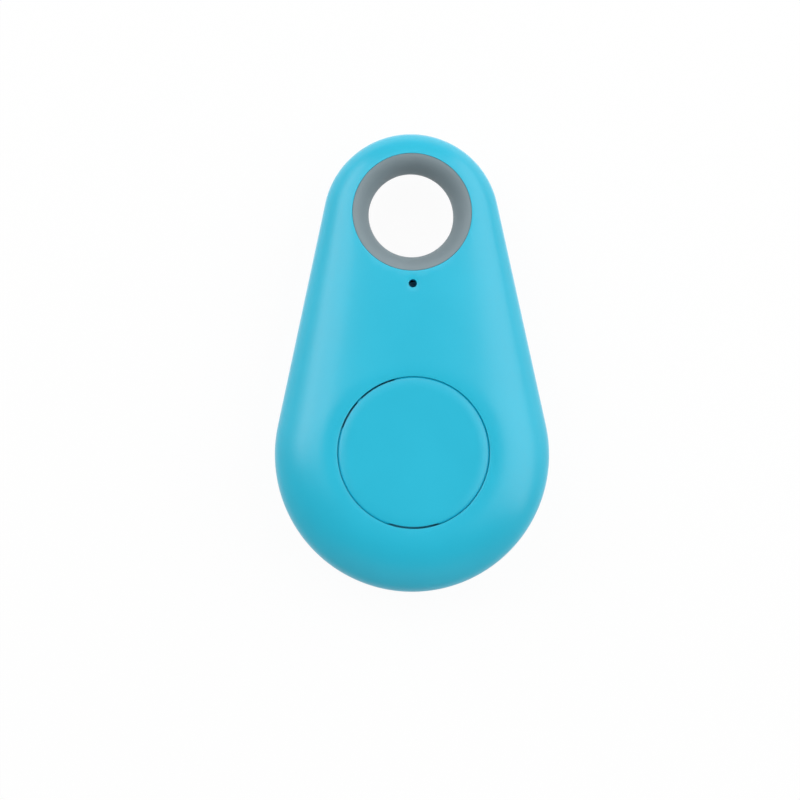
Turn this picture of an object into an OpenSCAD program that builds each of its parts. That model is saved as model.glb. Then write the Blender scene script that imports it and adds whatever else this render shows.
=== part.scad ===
// Drop-shaped tracker tag for a key ring, lying on its back.
// X is the width, +Y runs to the key hole, +Z to the face with the button.
// The origin is the middle of the back, at the surface that the tag lies on.

/* [Case] */
// Radius of the round end that holds the cell
body_r = 15.5; // [15.2:0.1:18]
// Radius of the small end round the key hole
tail_r = 10; // [9.6:0.1:11.5]
// Distance between the centres of the two ends
end_gap = 26.5; // [25.5:0.5:32]
// Thickness of the case at the small end
tail_thick = 7.1; // [6.4:0.1:8.5]
// Width of the rounded shoulder at the large end
shoulder_w = 6.2; // [5:0.1:6.8]
// Radius with which the shoulder turns into the side wall
edge_r = 3; // [2.5:0.1:3.4]
// Height of the straight side wall of each half
side_h = 1; // [0.8:0.1:1.4]
// Wall thickness of both halves
wall = 1.4; // [1.2:0.05:1.6]
// Height of the tongue that goes into the other half
tongue_h = 1; // [0.6:0.1:1.4]
// Thickness of the tongue
tongue_t = 0.6; // [0.5:0.05:0.7]
// Bevel of both halves along the seam
seam_bevel = 0.12; // [0.05:0.01:0.2]

/* [Key hole] */
// Diameter of the narrowest part of the key hole
hole_d = 9.6; // [8:0.1:10.4]
// Length of the straight part of the key hole
hole_land = 1.6; // [1:0.1:2.2]
// How far the key hole lies above the centre of the small end
hole_rise = 0.7; // [0:0.1:0.9]
// Diameter of the liner where it shows in the case
liner_d = 13.4; // [12.6:0.1:13.8]
// Width of the liner's rim at its mouths
liner_lip = 0.3; // [0.15:0.05:0.4]
// Step with which the liner is held between the halves
liner_step = 0.5; // [0.3:0.05:0.6]

/* [Button] */
// Diameter of the button's face
button_d = 16.6; // [14:0.1:17.4]
// Gap round the button
button_gap = 0.2; // [0.15:0.01:0.35]
// Rounding of the button's rim
button_rim = 0.6; // [0.3:0.05:0.8]
// Thickness of the button's face
button_t = 1.3; // [1.1:0.05:1.5]
// Width of the flange that keeps the button in
flange_w = 0.8; // [0.5:0.05:1]
// Thickness of that flange
flange_t = 0.55; // [0.4:0.05:0.8]
// Travel of the button
travel = 0.3; // [0.2:0.01:0.34]
// Diameter of the pinhole over the status light
pinhole_d = 0.92; // [0.7:0.02:1.2]
// Distance from the pinhole to the rim of the liner
pinhole_gap = 1.5; // [1.4:0.1:3.3]

/* [Power] */
// Diameter of the coin cell
cell_d = 20; // [16:0.5:20.4]
// Height of the coin cell
cell_h = 3.2; // [2.5:0.1:3.8]
// Thickness of the strap under the cell
clip_t = 0.25; // [0.2:0.05:0.3]
// Width of that strap
clip_w = 5; // [3:0.5:6]
// Width of the leaf contact over the cell
leaf_w = 3; // [2:0.5:4]

/* [Board] */
// Thickness of the circuit board
board_t = 0.8; // [0.6:0.1:1.2]
// Side length of the push switch
switch_w = 5.2; // [4.8:0.1:6]
// Height of the switch housing
switch_h = 0.95; // [0.9:0.05:1.2]
// How far the switch plunger stands above its cover
plunger_h = 0.4; // [0.36:0.02:0.5]
// Diameter of the plunger
plunger_d = 2.4; // [2:0.1:2.6]
// Side length of the radio chip
chip_w = 4; // [3:0.5:5]
// Radius of the posts that carry the board
post_r = 1.1; // [1:0.05:1.3]
// Diameter of the pegs on the posts
peg_d = 1.2; // [1:0.1:1.4]

/* [Buzzer] */
// Diameter of the brass plate
plate_d = 18; // [14:0.5:18.4]
// Diameter of the ceramic disc
ceramic_d = 12; // [9:0.5:13]
// Thickness of the plate, of the disc and of the tape under them
foil_t = 0.2; // [0.15:0.05:0.25]
// Diameter of the two leads
lead_d = 0.5; // [0.4:0.05:0.6]

/* [Hidden] */

// Curves: $fn is for round solids, the next two for the blended skin of the case.
// The coarse pair is for what only has to end inside that skin.
$fn = 96;
skin = [72, 6];
coarse = [36, 4];

// Clearances: sliding and seated fits, then the gaps round the board, the cell and the buzzer
fit_gap = 0.1;
seat_gap = 0.05;
touch_gap = 0.03;
peg_gap = 0.15;
board_gap = 0.7;
board_tail_gap = 1.8;
liner_gap = 0.3;
post_gap = 0.7;
stop_gap = 0.3;
clip_gap = 0.15;
plate_gap = 0.2;
flange_gap = 0.1;
// Room in height for the press of the button, for the buzzer to swing and for the leaf contact
press_room = 0.25;
buzzer_room = 0.75;
contact_room = 0.3;
// Cuts run past a face by one of these
eps = 0.01;
over = 0.5;

// Heights, stacked from the back of the case to its face
cover_t = 0.15;
plate_z = wall + foil_t;
ceramic_z = plate_z + foil_t;
clip_z = ceramic_z + foil_t + buzzer_room;
cell_z = clip_z + clip_t;
cell_top = cell_z + cell_h;
board_z = cell_top + contact_room;
board_top = board_z + board_t;
cover_z = board_top + switch_h;
flange_z = cover_z + cover_t + travel + press_room;
ceiling_z = flange_z + flange_t + flange_gap;
body_thick = ceiling_z + wall;
seam_z = body_thick / 2;

// Places in the plan
length = body_r + end_gap + tail_r;
body_y = body_r - length / 2;
tail_y = body_y + end_gap;
hole_y = tail_y + hole_rise;
pinhole_y = hole_y - liner_d / 2 - pinhole_gap;

// The shoulder leaves the seat of the button and of the buzzer flat
flat_r = max(body_r - shoulder_w, button_d / 2 + button_gap, plate_d / 2 + plate_gap);
shoulder = body_r - flat_r;

// The small end is the large end made smaller, and the face slopes down to it
tail_shoulder = shoulder * tail_r / body_r;
tail_edge = edge_r * tail_thick / body_thick;
tail_side = side_h * tail_thick / body_thick;
slope = (body_thick - tail_thick) / 2 / (end_gap + tail_r - tail_shoulder - flat_r);

// Board outline, posts and pegs
board_r = body_r - wall - board_gap;
board_tail_r = tail_r - wall - board_tail_gap;
board_end = hole_y - liner_d / 2 - liner_step - liner_gap;
cell_edge = body_y + cell_d / 2;
post_ring = cell_d / 2 + post_gap + post_r;
post_angle = 35;
upper_post_x = 7.5;
upper_post_rise = 3.5;
posts = [for (side = [-1, 1]) each [
    [side * post_ring * cos(post_angle), body_y - post_ring * sin(post_angle)],
    [side * upper_post_x, cell_edge + upper_post_rise]]];
boss_rim = 0.3;
boss_r = post_r + boss_rim;
peg_hole_d = peg_d + 2 * peg_gap;
peg_up = 0.8;

// Switch: floor of its well, the collar of its plunger and the spare height of its dome
well_floor = 0.3;
collar_w = 0.35;
dome_spare = 0.1;
well_r = plunger_d / 2 + 2 * collar_w;
dome_r = well_r - peg_gap;
dome_h = travel + dome_spare;

// Coin cell: sheet of its can and cap, their rounding, its gasket, separator and anode
can_t = 0.3;
can_round = 0.4;
gasket_t = 0.25;
separator_t = 0.1;
anode_h = 0.9;
cap_step = 1.1;
cap_stand = 0.2;
cap_r = cell_d / 2 - cap_step;
can_h = cell_h - cap_stand;
pellet_r = cap_r - can_t - fit_gap;
cathode_h = cell_h - 2 * can_t - separator_t - anode_h;

// Status light under the pinhole
led_l = 1.6;
led_w = 0.8;
led_h = 0.25;
lens_l = 1.1;
lens_h = 0.35;
led_top = board_top + led_h + lens_h;

// Radio chip, crystal and small chip parts: their sizes, and their places from the edge of the cell
chip_x = -3.3;
chip_rise = 3;
chip_h = 0.85;
crystal_x = 3.4;
crystal_rise = 3.2;
crystal_l = 3.2;
crystal_w = 2.5;
crystal_h = 0.5;
part_l = 1;
part_w = 0.5;
capacitor_h = 0.5;
resistor_h = 0.35;
part_x = 0.3;
part_step = 1.2;
pair_step = 0.8;
resistor_low = 0.4;
resistor_high = 6.2;

// Leaf contact: half the width of its crest, and where its pads start and end
crest_x = 1;
pad_start = 4;
pad_end = 6;

// Corners of the switch that its steel cover leaves free
cover_corner = 1.3;

// Leads of the buzzer: half their distance, the height of their run, where they rise and where they start
lead_x = 1.6;
lead_z = ceramic_z + foil_t + touch_gap + lead_d / 2;
lead_bend = 1.6;
lead_rise = 2.6;
lead_up_y = cell_edge + lead_rise;
red_inset = 2;
red_y = body_y + ceramic_d / 2 - red_inset;
black_y = body_y + (plate_d + ceramic_d) / 4 - plate_gap;
blob_h = 0.6;
blob_r = [0.65, 0.3];

case_blue = "#3bbeda";
liner_grey = "#8a989d";
steel = "#c4c8ca";

// Half of a rounded disc: flat top, a crown arc, a tighter edge arc and a straight side
function disc_profile(radius, half, width, edge, side, inset, below, bevel, steps) =
    let (rise = half - side)
    let (crown = ((width - edge) ^ 2 + rise ^ 2 - edge ^ 2) / (2 * (rise - edge)))
    let (turn = atan2(width - edge, crown - rise))
    concat(
        [[0, -below], [radius - inset - bevel, -below], [radius - inset, bevel - below]],
        [for (i = [steps:-1:0]) let (a = turn + (90 - turn) * i / steps)
            [radius - edge, side] + (edge - inset) * [sin(a), cos(a)]],
        [for (i = [steps - 1:-1:0]) let (a = turn * i / steps)
            [radius - width, half - crown] + (crown - inset) * [sin(a), cos(a)]],
        [[0, half - inset]]);

// Upper half of the drop-shaped body, its skin moved inwards by inset, standing on the seam
module drop_half(inset = 0, below = 0, bevel = 0, grain = skin) {
    hull() {
        translate([0, body_y, 0])
            rotate_extrude($fn = grain[0])
                polygon(disc_profile(body_r, body_thick / 2, shoulder, edge_r, side_h,
                    inset, below, bevel, grain[1]));
        translate([0, tail_y, 0])
            rotate_extrude($fn = grain[0])
                polygon(disc_profile(tail_r, tail_thick / 2, tail_shoulder, tail_edge, tail_side,
                    inset, below, bevel, grain[1]));
    }
}

// One half of the case as a plain hollow shell, standing on the seam
module shell_half() {
    difference() {
        drop_half(bevel = seam_bevel);
        drop_half(wall, over);
    }
}

// Flat drop: two circles and the band between their tangents
module drop_flat(r1, r2) {
    a = asin((r1 - r2) / end_gap);
    translate([0, body_y])
        circle(r1);
    translate([0, tail_y])
        circle(r2);
    polygon([for (p = [[1, 0], [1, 1], [-1, 1], [-1, 0]])
        [p[0] * cos(a), sin(a)] * (p[1] == 0 ? r1 : r2) + [0, p[1] == 0 ? body_y : tail_y]]);
}

module at_posts() {
    for (p = posts)
        translate([p[0], p[1], 0])
            children();
}

// Front half of the case: button opening, key hole, pinhole with its tunnel, bosses and tongue
module front_shell() {
    tunnel_wall = 0.35;
    color(case_blue)
        difference() {
            union() {
                translate([0, 0, seam_z])
                    shell_half();
                translate([0, 0, seam_z - tongue_h])
                    linear_extrude(tongue_h + side_h / 2)
                        difference() {
                            drop_flat(body_r - wall + tongue_t, tail_r - wall + tongue_t);
                            drop_flat(body_r - wall, tail_r - wall);
                        }
                intersection() {
                    translate([0, 0, seam_z])
                        drop_half(wall / 2, over, grain = coarse);
                    union() {
                        at_posts()
                            translate([0, 0, board_top + seat_gap])
                                cylinder(r = boss_r, h = body_thick);
                        translate([0, pinhole_y, led_top + fit_gap])
                            cylinder(r = pinhole_d / 2 + tunnel_wall, h = body_thick);
                    }
                }
            }
            translate([0, body_y, seam_z])
                cylinder(d = button_d + 2 * button_gap, h = body_thick);
            translate([0, hole_y, seam_z - body_thick])
                cylinder(d = liner_d + 2 * seat_gap, h = 2 * body_thick);
            translate([0, pinhole_y, seam_z])
                cylinder(d = pinhole_d, h = body_thick);
            at_posts()
                translate([0, 0, board_top - eps])
                    cylinder(d = peg_hole_d, h = peg_up + 2 * fit_gap);
        }
}

// Rear half of the case: rebate for the tongue, board posts, cell stops and buzzer seat
module rear_shell() {
    stop_t = 0.8;
    stops = [[52, 21], [107, 21], [257, 26]];
    seat_t = 0.6;
    seat_up = 0.4;
    tongue_r = tongue_t + fit_gap - wall;
    color(case_blue)
        difference() {
            union() {
                difference() {
                    translate([0, 0, seam_z])
                        mirror([0, 0, 1])
                            shell_half();
                    translate([0, 0, seam_z - tongue_h - fit_gap])
                        linear_extrude(body_thick)
                            drop_flat(body_r + tongue_r, tail_r + tongue_r);
                }
                intersection() {
                    translate([0, 0, seam_z])
                        mirror([0, 0, 1])
                            drop_half(wall / 2, body_thick, grain = coarse);
                    union() {
                        at_posts() {
                            cylinder(r = post_r, h = board_z);
                            cylinder(d = peg_d, h = board_top + peg_up);
                        }
                        translate([0, body_y, 0]) {
                            for (stop = stops)
                                rotate(stop[0])
                                    rotate_extrude(angle = stop[1])
                                        translate([cell_d / 2 + stop_gap, 0])
                                            square([stop_t, cell_z + cell_h / 2]);
                            rotate_extrude()
                                translate([plate_d / 2 + plate_gap, 0])
                                    square([seat_t, plate_z + seat_up]);
                        }
                    }
                }
            }
            translate([0, hole_y, -eps])
                cylinder(d = liner_d + 2 * seat_gap, h = body_thick);
        }
}

// Ring that lines the key hole, stepped so that the two halves hold it
module keyhole_liner() {
    mouth_z = body_thick / 2 - slope * (hole_y - body_y - flat_r);
    color(liner_grey)
        translate([0, 0, seam_z])
            difference() {
                union() {
                    liner_blank(liner_d / 2, seat_gap);
                    liner_blank(liner_d / 2 + liner_step, wall + seat_gap);
                }
                translate([0, hole_y, -body_thick])
                    cylinder(d = hole_d, h = 2 * body_thick);
                for (side = [0, 1])
                    mirror([0, 0, side])
                        translate([0, hole_y, mouth_z])
                            multmatrix([[1, 0, 0], [0, 1, 0], [0, -slope, 1]])
                                funnel(liner_d / 2 - liner_lip, mouth_z - hole_land / 2);
            }
}

// Round blank cut to the shape of the case, moved inwards by inset
module liner_blank(radius, inset) {
    intersection() {
        translate([0, hole_y, -body_thick])
            cylinder(r = radius, h = 2 * body_thick);
        union() {
            drop_half(inset, grain = coarse);
            mirror([0, 0, 1])
                drop_half(inset, grain = coarse);
        }
    }
}

// Flared mouth, slanted with the face: a cone with a rounded edge that runs into the straight hole
module funnel(mouth_r, depth) {
    round_r = 0.9;
    flare = 70;
    run_on = 1;
    round_end = [mouth_r - round_r * sin(flare), round_r * (cos(flare) - 1)];
    cone = (round_end[0] - hole_d / 2) / (depth + round_end[1]);
    rotate_extrude()
        difference() {
            polygon([[0, over], [mouth_r, over], [mouth_r, -round_r], round_end,
                [hole_d / 2 - cone * run_on, -depth - run_on], [0, -depth - run_on]]);
            translate([mouth_r, -round_r])
                circle(round_r);
        }
}

// Push button: a rounded disc with a flange, hollow underneath, with a stem and ribs
module button_cap() {
    face_r = button_d / 2;
    skirt_t = 1.2;
    stem_r = 1.5;
    rib_t = 0.8;
    rib_r = face_r - skirt_t / 2;
    top_z = body_thick - seat_gap;
    under_z = top_z - button_t;
    stem_z = cover_z + cover_t + plunger_h + touch_gap;
    color(case_blue)
        translate([0, body_y, 0]) {
            rotate_extrude() {
                translate([0, under_z])
                    square([face_r - button_rim, button_t]);
                translate([0, under_z])
                    square([face_r, button_t - button_rim]);
                translate([face_r - button_rim, top_z - button_rim])
                    circle(button_rim);
                translate([face_r - skirt_t, flange_z])
                    square([skirt_t, under_z - flange_z + eps]);
                translate([face_r - skirt_t, flange_z])
                    square([skirt_t + flange_w, flange_t]);
            }
            translate([0, 0, stem_z])
                cylinder(r = stem_r, h = under_z - stem_z + eps);
            for (a = [0, 90])
                rotate(a)
                    translate([-rib_r, -rib_t / 2, flange_z])
                        cube([2 * rib_r, rib_t, under_z - flange_z + eps]);
        }
}

// Circuit board: a drop cut off below the key hole, drilled for the pegs
module circuit_board() {
    color("#1f6b45")
        translate([0, 0, board_z])
            linear_extrude(board_t)
                difference() {
                    intersection() {
                        drop_flat(board_r, board_tail_r);
                        translate([-body_r, body_y - body_r])
                            square([2 * body_r, board_end - body_y + body_r]);
                    }
                    for (p = posts)
                        translate(p)
                            circle(d = peg_hole_d);
                }
}

// Meandering copper aerial at the top left of the board
module antenna_trace() {
    width = 0.35;
    pitch = 0.8;
    turns = 7;
    tall = 2.4;
    copper_t = 0.05;
    feed_x = -1.9;
    edge_gap = 0.7;
    color("#c98f4e")
        translate([feed_x, board_end - edge_gap, board_top])
            linear_extrude(copper_t)
                union() {
                    for (i = [0:turns - 1])
                        translate([-i * pitch - width / 2, -tall])
                            square([width, tall]);
                    for (i = [0:turns - 2])
                        translate([-(i + 1) * pitch - width / 2, i % 2 == 0 ? -width : -tall])
                            square([pitch + width, width]);
                }
}

// A box standing on the board's face
module on_board(x, y, l, w, h) {
    translate([x - l / 2, y - w / 2, board_top])
        cube([l, w, h]);
}

// Radio chip, with the shallow dimple that marks its first pin
module radio_chip() {
    y = cell_edge + chip_rise;
    dimple_r = 0.3;
    dimple_in = 0.7;
    dimple_off = chip_w / 2 - dimple_in;
    dimple = 0.06;
    color("#26282b")
        difference() {
            on_board(chip_x, y, chip_w, chip_w, chip_h);
            translate([chip_x - dimple_off, y + dimple_off, board_top + chip_h - dimple])
                cylinder(r = dimple_r, h = chip_h);
        }
}

// Crystal: a ceramic tub with a metal lid
module crystal() {
    y = cell_edge + crystal_rise;
    rim = 0.2;
    lid_t = 0.2;
    color("#d3cfc2") {
        on_board(crystal_x, y, crystal_l, crystal_w, crystal_h);
        on_board(crystal_x, y, crystal_l - 2 * rim, crystal_w - 2 * rim, crystal_h + lid_t);
    }
}

// Base of the status light, under the pinhole
module led_base() {
    color("#e8e6da")
        on_board(0, pinhole_y, led_l, led_w, led_h);
}

// Clear lens of the status light
module led_lens() {
    color("#dff3f5", 0.7)
        translate([0, 0, led_h])
            on_board(0, pinhole_y, lens_l, led_w, lens_h);
}

// Six small capacitors: four in a column beside the radio chip and two below it
module chip_capacitors() {
    color("#b08a62") {
        for (i = [1:4])
            on_board(part_x, cell_edge + i * part_step, part_l, part_w, capacitor_h);
        for (side = [-1, 1])
            on_board(chip_x + side * pair_step, cell_edge, part_l, part_w, capacitor_h);
    }
}

// Four small resistors: two below and two above the crystal
module chip_resistors() {
    color("#2b2b2e")
        for (side = [-1, 1], rise = [resistor_low, resistor_high])
            on_board(crystal_x + side * pair_step, cell_edge + rise, part_l, part_w, resistor_h);
}

// Housing of the push switch, with the round well for its dome
module switch_base() {
    color("#2a2a2c")
        translate([0, body_y, board_top])
            difference() {
                translate([-switch_w / 2, -switch_w / 2, 0])
                    cube([switch_w, switch_w, switch_h]);
                translate([0, 0, well_floor])
                    cylinder(r = well_r, h = switch_h);
            }
}

// Four bent legs of the switch
module switch_terminals() {
    width = 0.7;
    thick = 0.15;
    reach = 0.9;
    up = 0.45;
    corner = 0.6;
    color(steel)
        for (side = [0, 180], y = [-1, 1])
            translate([0, body_y, board_top])
                rotate(side)
                    translate([switch_w / 2, y * (switch_w / 2 - corner) - width / 2, 0]) {
                        cube([reach, width, thick]);
                        cube([thick, width, up]);
                    }
}

// Spring dome of the switch, a shallow cap of thin steel
module switch_dome() {
    thick = 0.08;
    ball = (dome_r ^ 2 + dome_h ^ 2) / (2 * dome_h);
    color(steel)
        translate([0, body_y, board_top + well_floor])
            rotate_extrude()
                intersection() {
                    square([dome_r, dome_h]);
                    translate([0, dome_h - ball])
                        difference() {
                            circle(ball);
                            circle(ball - thick);
                        }
                }
}

// Plunger of the switch, with a collar under the cover
module switch_plunger() {
    collar_t = 0.2;
    collar_z = board_top + well_floor + dome_h + touch_gap;
    top_z = cover_z + cover_t + plunger_h;
    color("#3a3a3d")
        translate([0, body_y, 0]) {
            translate([0, 0, collar_z])
                cylinder(r = plunger_d / 2 + collar_w, h = collar_t);
            translate([0, 0, collar_z])
                cylinder(d = plunger_d, h = top_z - collar_z);
        }
}

// Pressed steel cover of the switch, bent down over two sides
module switch_cover() {
    tab_w = switch_w - 2 * cover_corner;
    tab_h = 0.6;
    color(steel)
        translate([0, body_y, cover_z])
            difference() {
                union() {
                    translate([-switch_w / 2 - cover_t, -tab_w / 2, -tab_h])
                        cube([switch_w + 2 * cover_t, tab_w, tab_h + cover_t]);
                    translate([-switch_w / 2, -switch_w / 2, 0])
                        cube([switch_w, switch_w, cover_t]);
                }
                translate([-switch_w / 2, -switch_w / 2, -tab_h - eps])
                    cube([switch_w, switch_w, tab_h + eps]);
                translate([0, 0, -tab_h])
                    cylinder(d = plunger_d + 2 * fit_gap, h = 2 * tab_h);
            }
}

// Can of the coin cell, rolled in over the gasket
module battery_can() {
    color(steel)
        translate([0, body_y, cell_z])
            rotate_extrude()
                difference() {
                    union() {
                        square([cell_d / 2 - can_round, can_h]);
                        translate([0, can_round])
                            square([cell_d / 2, can_h - can_round]);
                        translate([cell_d / 2 - can_round, can_round])
                            circle(can_round);
                    }
                    translate([0, can_t])
                        square([cell_d / 2 - can_t, can_h - 2 * can_t]);
                    translate([0, can_t])
                        square([cap_r + gasket_t, can_h]);
                }
}

// Gasket between the can and the cap, with a foot under the rim of the cap
module battery_gasket() {
    color("#50565a")
        translate([0, body_y, cell_z + can_t])
            rotate_extrude() {
                translate([cap_r, 0])
                    square([gasket_t, can_h - can_t]);
                translate([cap_r, 0])
                    square([cell_d / 2 - can_t - cap_r, can_h - 2 * can_t]);
                translate([cap_r - can_t, 0])
                    square([2 * can_t, gasket_t]);
            }
}

// Cap of the coin cell, a shallow cup turned upside down
module battery_cap() {
    rim_z = can_t + gasket_t;
    color("#d9dbdc")
        translate([0, body_y, cell_z])
            rotate_extrude()
                difference() {
                    union() {
                        translate([0, rim_z])
                            square([cap_r, cell_h - rim_z - can_round]);
                        translate([0, rim_z])
                            square([cap_r - can_round, cell_h - rim_z]);
                        translate([cap_r - can_round, cell_h - can_round])
                            circle(can_round);
                    }
                    square([cap_r - can_t, cell_h - can_t]);
                }
}

// Pressed pellet of the positive side
module battery_cathode() {
    color("#2f2f31")
        translate([0, body_y, cell_z + can_t])
            cylinder(r = pellet_r, h = cathode_h);
}

// Porous sheet between the two sides of the cell
module battery_separator() {
    color("#ece9e0")
        translate([0, body_y, cell_z + can_t + cathode_h])
            cylinder(r = pellet_r, h = separator_t);
}

// Soft metal disc of the negative side
module battery_anode() {
    color("#b7bcc0")
        translate([0, body_y, cell_z + can_t + cathode_h + separator_t])
            cylinder(r = pellet_r, h = anode_h);
}

// Steel strap that holds the cell up to the board and takes its positive side
module battery_clip() {
    taper = 0.5;
    leg_w = clip_w - 2 * taper;
    leg_x = cell_d / 2 + clip_gap;
    foot = 1.2;
    color(steel)
        translate([0, body_y, 0]) {
            translate([-leg_x - clip_t, -clip_w / 2, clip_z])
                cube([2 * leg_x + 2 * clip_t, clip_w, clip_t]);
            for (side = [0, 180])
                rotate(side)
                    translate([leg_x, -leg_w / 2, 0]) {
                        translate([0, 0, clip_z])
                            cube([clip_t, leg_w, board_z - clip_z]);
                        translate([0, 0, board_z - clip_t])
                            cube([foot, leg_w, clip_t]);
                    }
        }
}

// Bowed leaf that touches the negative cap of the cell
module battery_contact() {
    leaf_t = 0.15;
    bow = [[pad_end, board_z - leaf_t], [pad_start, board_z - leaf_t], [crest_x, cell_top]];
    color("#d8c48a")
        translate([0, body_y + leaf_w / 2, 0])
            rotate([90, 0, 0])
                linear_extrude(leaf_w)
                    polygon(concat(
                        [for (i = [0:2]) [-bow[i][0], bow[i][1]]],
                        [for (i = [2:-1:0]) bow[i]],
                        [for (i = [0:2]) bow[i] + [0, leaf_t]],
                        [for (i = [2:-1:0]) [-bow[i][0], bow[i][1] + leaf_t]]));
}

// Disc of the buzzer stack
module buzzer_disc(diameter, z) {
    translate([0, body_y, z])
        cylinder(d = diameter, h = foil_t);
}

// Ring of double-sided tape that holds the buzzer to the back
module buzzer_tape() {
    color("#e9e4d2")
        difference() {
            buzzer_disc(plate_d - 2 * plate_gap, wall);
            translate([0, body_y, wall - eps])
                cylinder(d = ceramic_d, h = foil_t + 2 * eps);
        }
}

// Brass plate of the buzzer
module buzzer_plate() {
    color("#c9a24a")
        buzzer_disc(plate_d, plate_z);
}

// Silvered ceramic disc of the buzzer
module buzzer_ceramic() {
    color("#e3e2dc")
        buzzer_disc(ceramic_d, ceramic_z);
}

// Lead from the buzzer along the back and up to the board
module buzzer_lead(x, from_y) {
    run_end = lead_up_y - lead_bend;
    translate([x, from_y, lead_z])
        rotate([-90, 0, 0])
            cylinder(d = lead_d, h = run_end - from_y);
    translate([x, run_end, lead_z + lead_bend])
        rotate([0, 90, 0])
            rotate_extrude(angle = 90)
                translate([lead_bend, 0])
                    circle(d = lead_d);
    translate([x, lead_up_y, lead_z + lead_bend])
        cylinder(d = lead_d, h = board_z - lead_z - lead_bend);
}

// Lead to the ceramic disc
module buzzer_lead_red() {
    color("#c23b33")
        buzzer_lead(lead_x, red_y);
}

// Lead to the brass plate
module buzzer_lead_black() {
    color("#2c2c2e")
        buzzer_lead(-lead_x, black_y);
}

// Solder at both ends of a lead: a blob on the disc or plate, another under the board
module solder_pair(x, from_y, base_z) {
    difference() {
        union() {
            translate([x, from_y, base_z])
                cylinder(r1 = blob_r[0], r2 = blob_r[1], h = ceramic_z + foil_t + blob_h - base_z);
            translate([x, lead_up_y, board_z - blob_h])
                cylinder(r1 = blob_r[1], r2 = blob_r[0], h = blob_h);
        }
        buzzer_lead(x, from_y);
    }
}

// Solder of the two leads
module solder_joints() {
    color("#b9bdc0") {
        solder_pair(lead_x, red_y, ceramic_z + foil_t);
        solder_pair(-lead_x, black_y, plate_z + foil_t);
    }
}

front_shell();
rear_shell();
keyhole_liner();
button_cap();
circuit_board();
antenna_trace();
radio_chip();
crystal();
led_base();
led_lens();
chip_capacitors();
chip_resistors();
switch_base();
switch_terminals();
switch_dome();
switch_plunger();
switch_cover();
battery_can();
battery_gasket();
battery_cap();
battery_cathode();
battery_separator();
battery_anode();
battery_clip();
battery_contact();
buzzer_tape();
buzzer_plate();
buzzer_ceramic();
buzzer_lead_red();
buzzer_lead_black();
solder_joints();
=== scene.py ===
# %% [markdown]
# # A drop-shaped wireless tracker tag
# The tag is a small plastic case for a key ring, with a lined key hole, a pinhole for a status light and a
# round push button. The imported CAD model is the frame: it gives every size, every place and every moving
# body. This lesson dresses it: fine skins for the moulded parts, details for the board, and a finish for
# each material. Sizes are in millimetres unless a line says otherwise.

# %% Load the frame
import math

import bmesh
import bpy
import numpy as np
from mathutils import Matrix, Vector, geometry


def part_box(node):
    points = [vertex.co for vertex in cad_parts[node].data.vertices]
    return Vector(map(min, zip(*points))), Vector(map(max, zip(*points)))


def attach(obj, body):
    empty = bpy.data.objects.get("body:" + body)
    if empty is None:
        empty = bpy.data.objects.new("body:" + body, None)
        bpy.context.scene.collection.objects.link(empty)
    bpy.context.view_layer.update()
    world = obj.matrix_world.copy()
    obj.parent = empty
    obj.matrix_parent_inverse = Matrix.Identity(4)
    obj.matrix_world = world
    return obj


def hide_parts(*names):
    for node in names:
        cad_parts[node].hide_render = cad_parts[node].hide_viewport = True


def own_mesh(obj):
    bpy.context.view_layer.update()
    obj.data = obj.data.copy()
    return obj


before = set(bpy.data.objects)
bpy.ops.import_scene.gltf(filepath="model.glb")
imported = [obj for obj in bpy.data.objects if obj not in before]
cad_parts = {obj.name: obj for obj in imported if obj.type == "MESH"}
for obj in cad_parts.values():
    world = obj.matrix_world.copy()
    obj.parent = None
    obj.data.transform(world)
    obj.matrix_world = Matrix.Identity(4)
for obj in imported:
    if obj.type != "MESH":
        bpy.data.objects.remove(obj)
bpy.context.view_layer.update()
MM = 0.001

# %% [markdown]
# ## Camera
# The photograph looks straight down at the face from about 0.3 m, a touch from the left and below. Such a
# small object is shot with a long lens, so the camera gets 117 mm on a 36 mm sensor. Its place and its
# slight tilt were found by fitting the outline, the button and the key hole, and no lens shift is needed.

# %% Camera
CAMERA_AT = Vector((-11.07, -23.32, 300)) * MM
CAMERA_TILT = [math.radians(a) for a in (3.70, -1.885, -0.17)]
SENSOR_MM = 36
LENS_MM = 117.1
NEAREST_SEEN = 0.005
camera = bpy.data.objects.new("camera", bpy.data.cameras.new("camera"))
camera.data.sensor_width = SENSOR_MM
camera.data.lens = LENS_MM
camera.data.clip_start = NEAREST_SEEN
camera.location = CAMERA_AT
camera.rotation_euler = CAMERA_TILT
bpy.context.collection.objects.link(camera)
bpy.context.scene.camera = camera
print("camera", tuple(round(v, 4) for v in camera.location))

# %% [markdown]
# ## Colours and nodes
# Colours are written as sRGB hex, as a paint program shows them, and one function turns them to the linear
# values that shaders use. A second function adds a shader node with its settings and its links, which keeps
# each material down to a few lines that read from the pattern to the surface.

# %% Colour and node helpers
CASE_CYAN = "#10b5d3"


def linear(code):
    channels = [int(code[i:i + 2], 16) / 255 for i in (1, 3, 5)]
    return [c / 12.92 if c <= 0.04045 else ((c + 0.055) / 1.055) ** 2.4 for c in channels] + [1.0]


def add(owner, kind, inputs=None, **settings):
    node = owner.node_tree.nodes.new("ShaderNode" + kind)
    for name, value in settings.items():
        setattr(node, name, value)
    for name, value in (inputs or {}).items():
        if isinstance(value, bpy.types.NodeSocket):
            owner.node_tree.links.new(value, node.inputs[name])
        else:
            node.inputs[name].default_value = value
    return node


def new_material(name):
    material = bpy.data.materials.new(name)
    material.use_nodes = True
    material.node_tree.nodes.clear()
    return material


print("cyan in linear light:", [round(c, 3) for c in linear(CASE_CYAN)])

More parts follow.
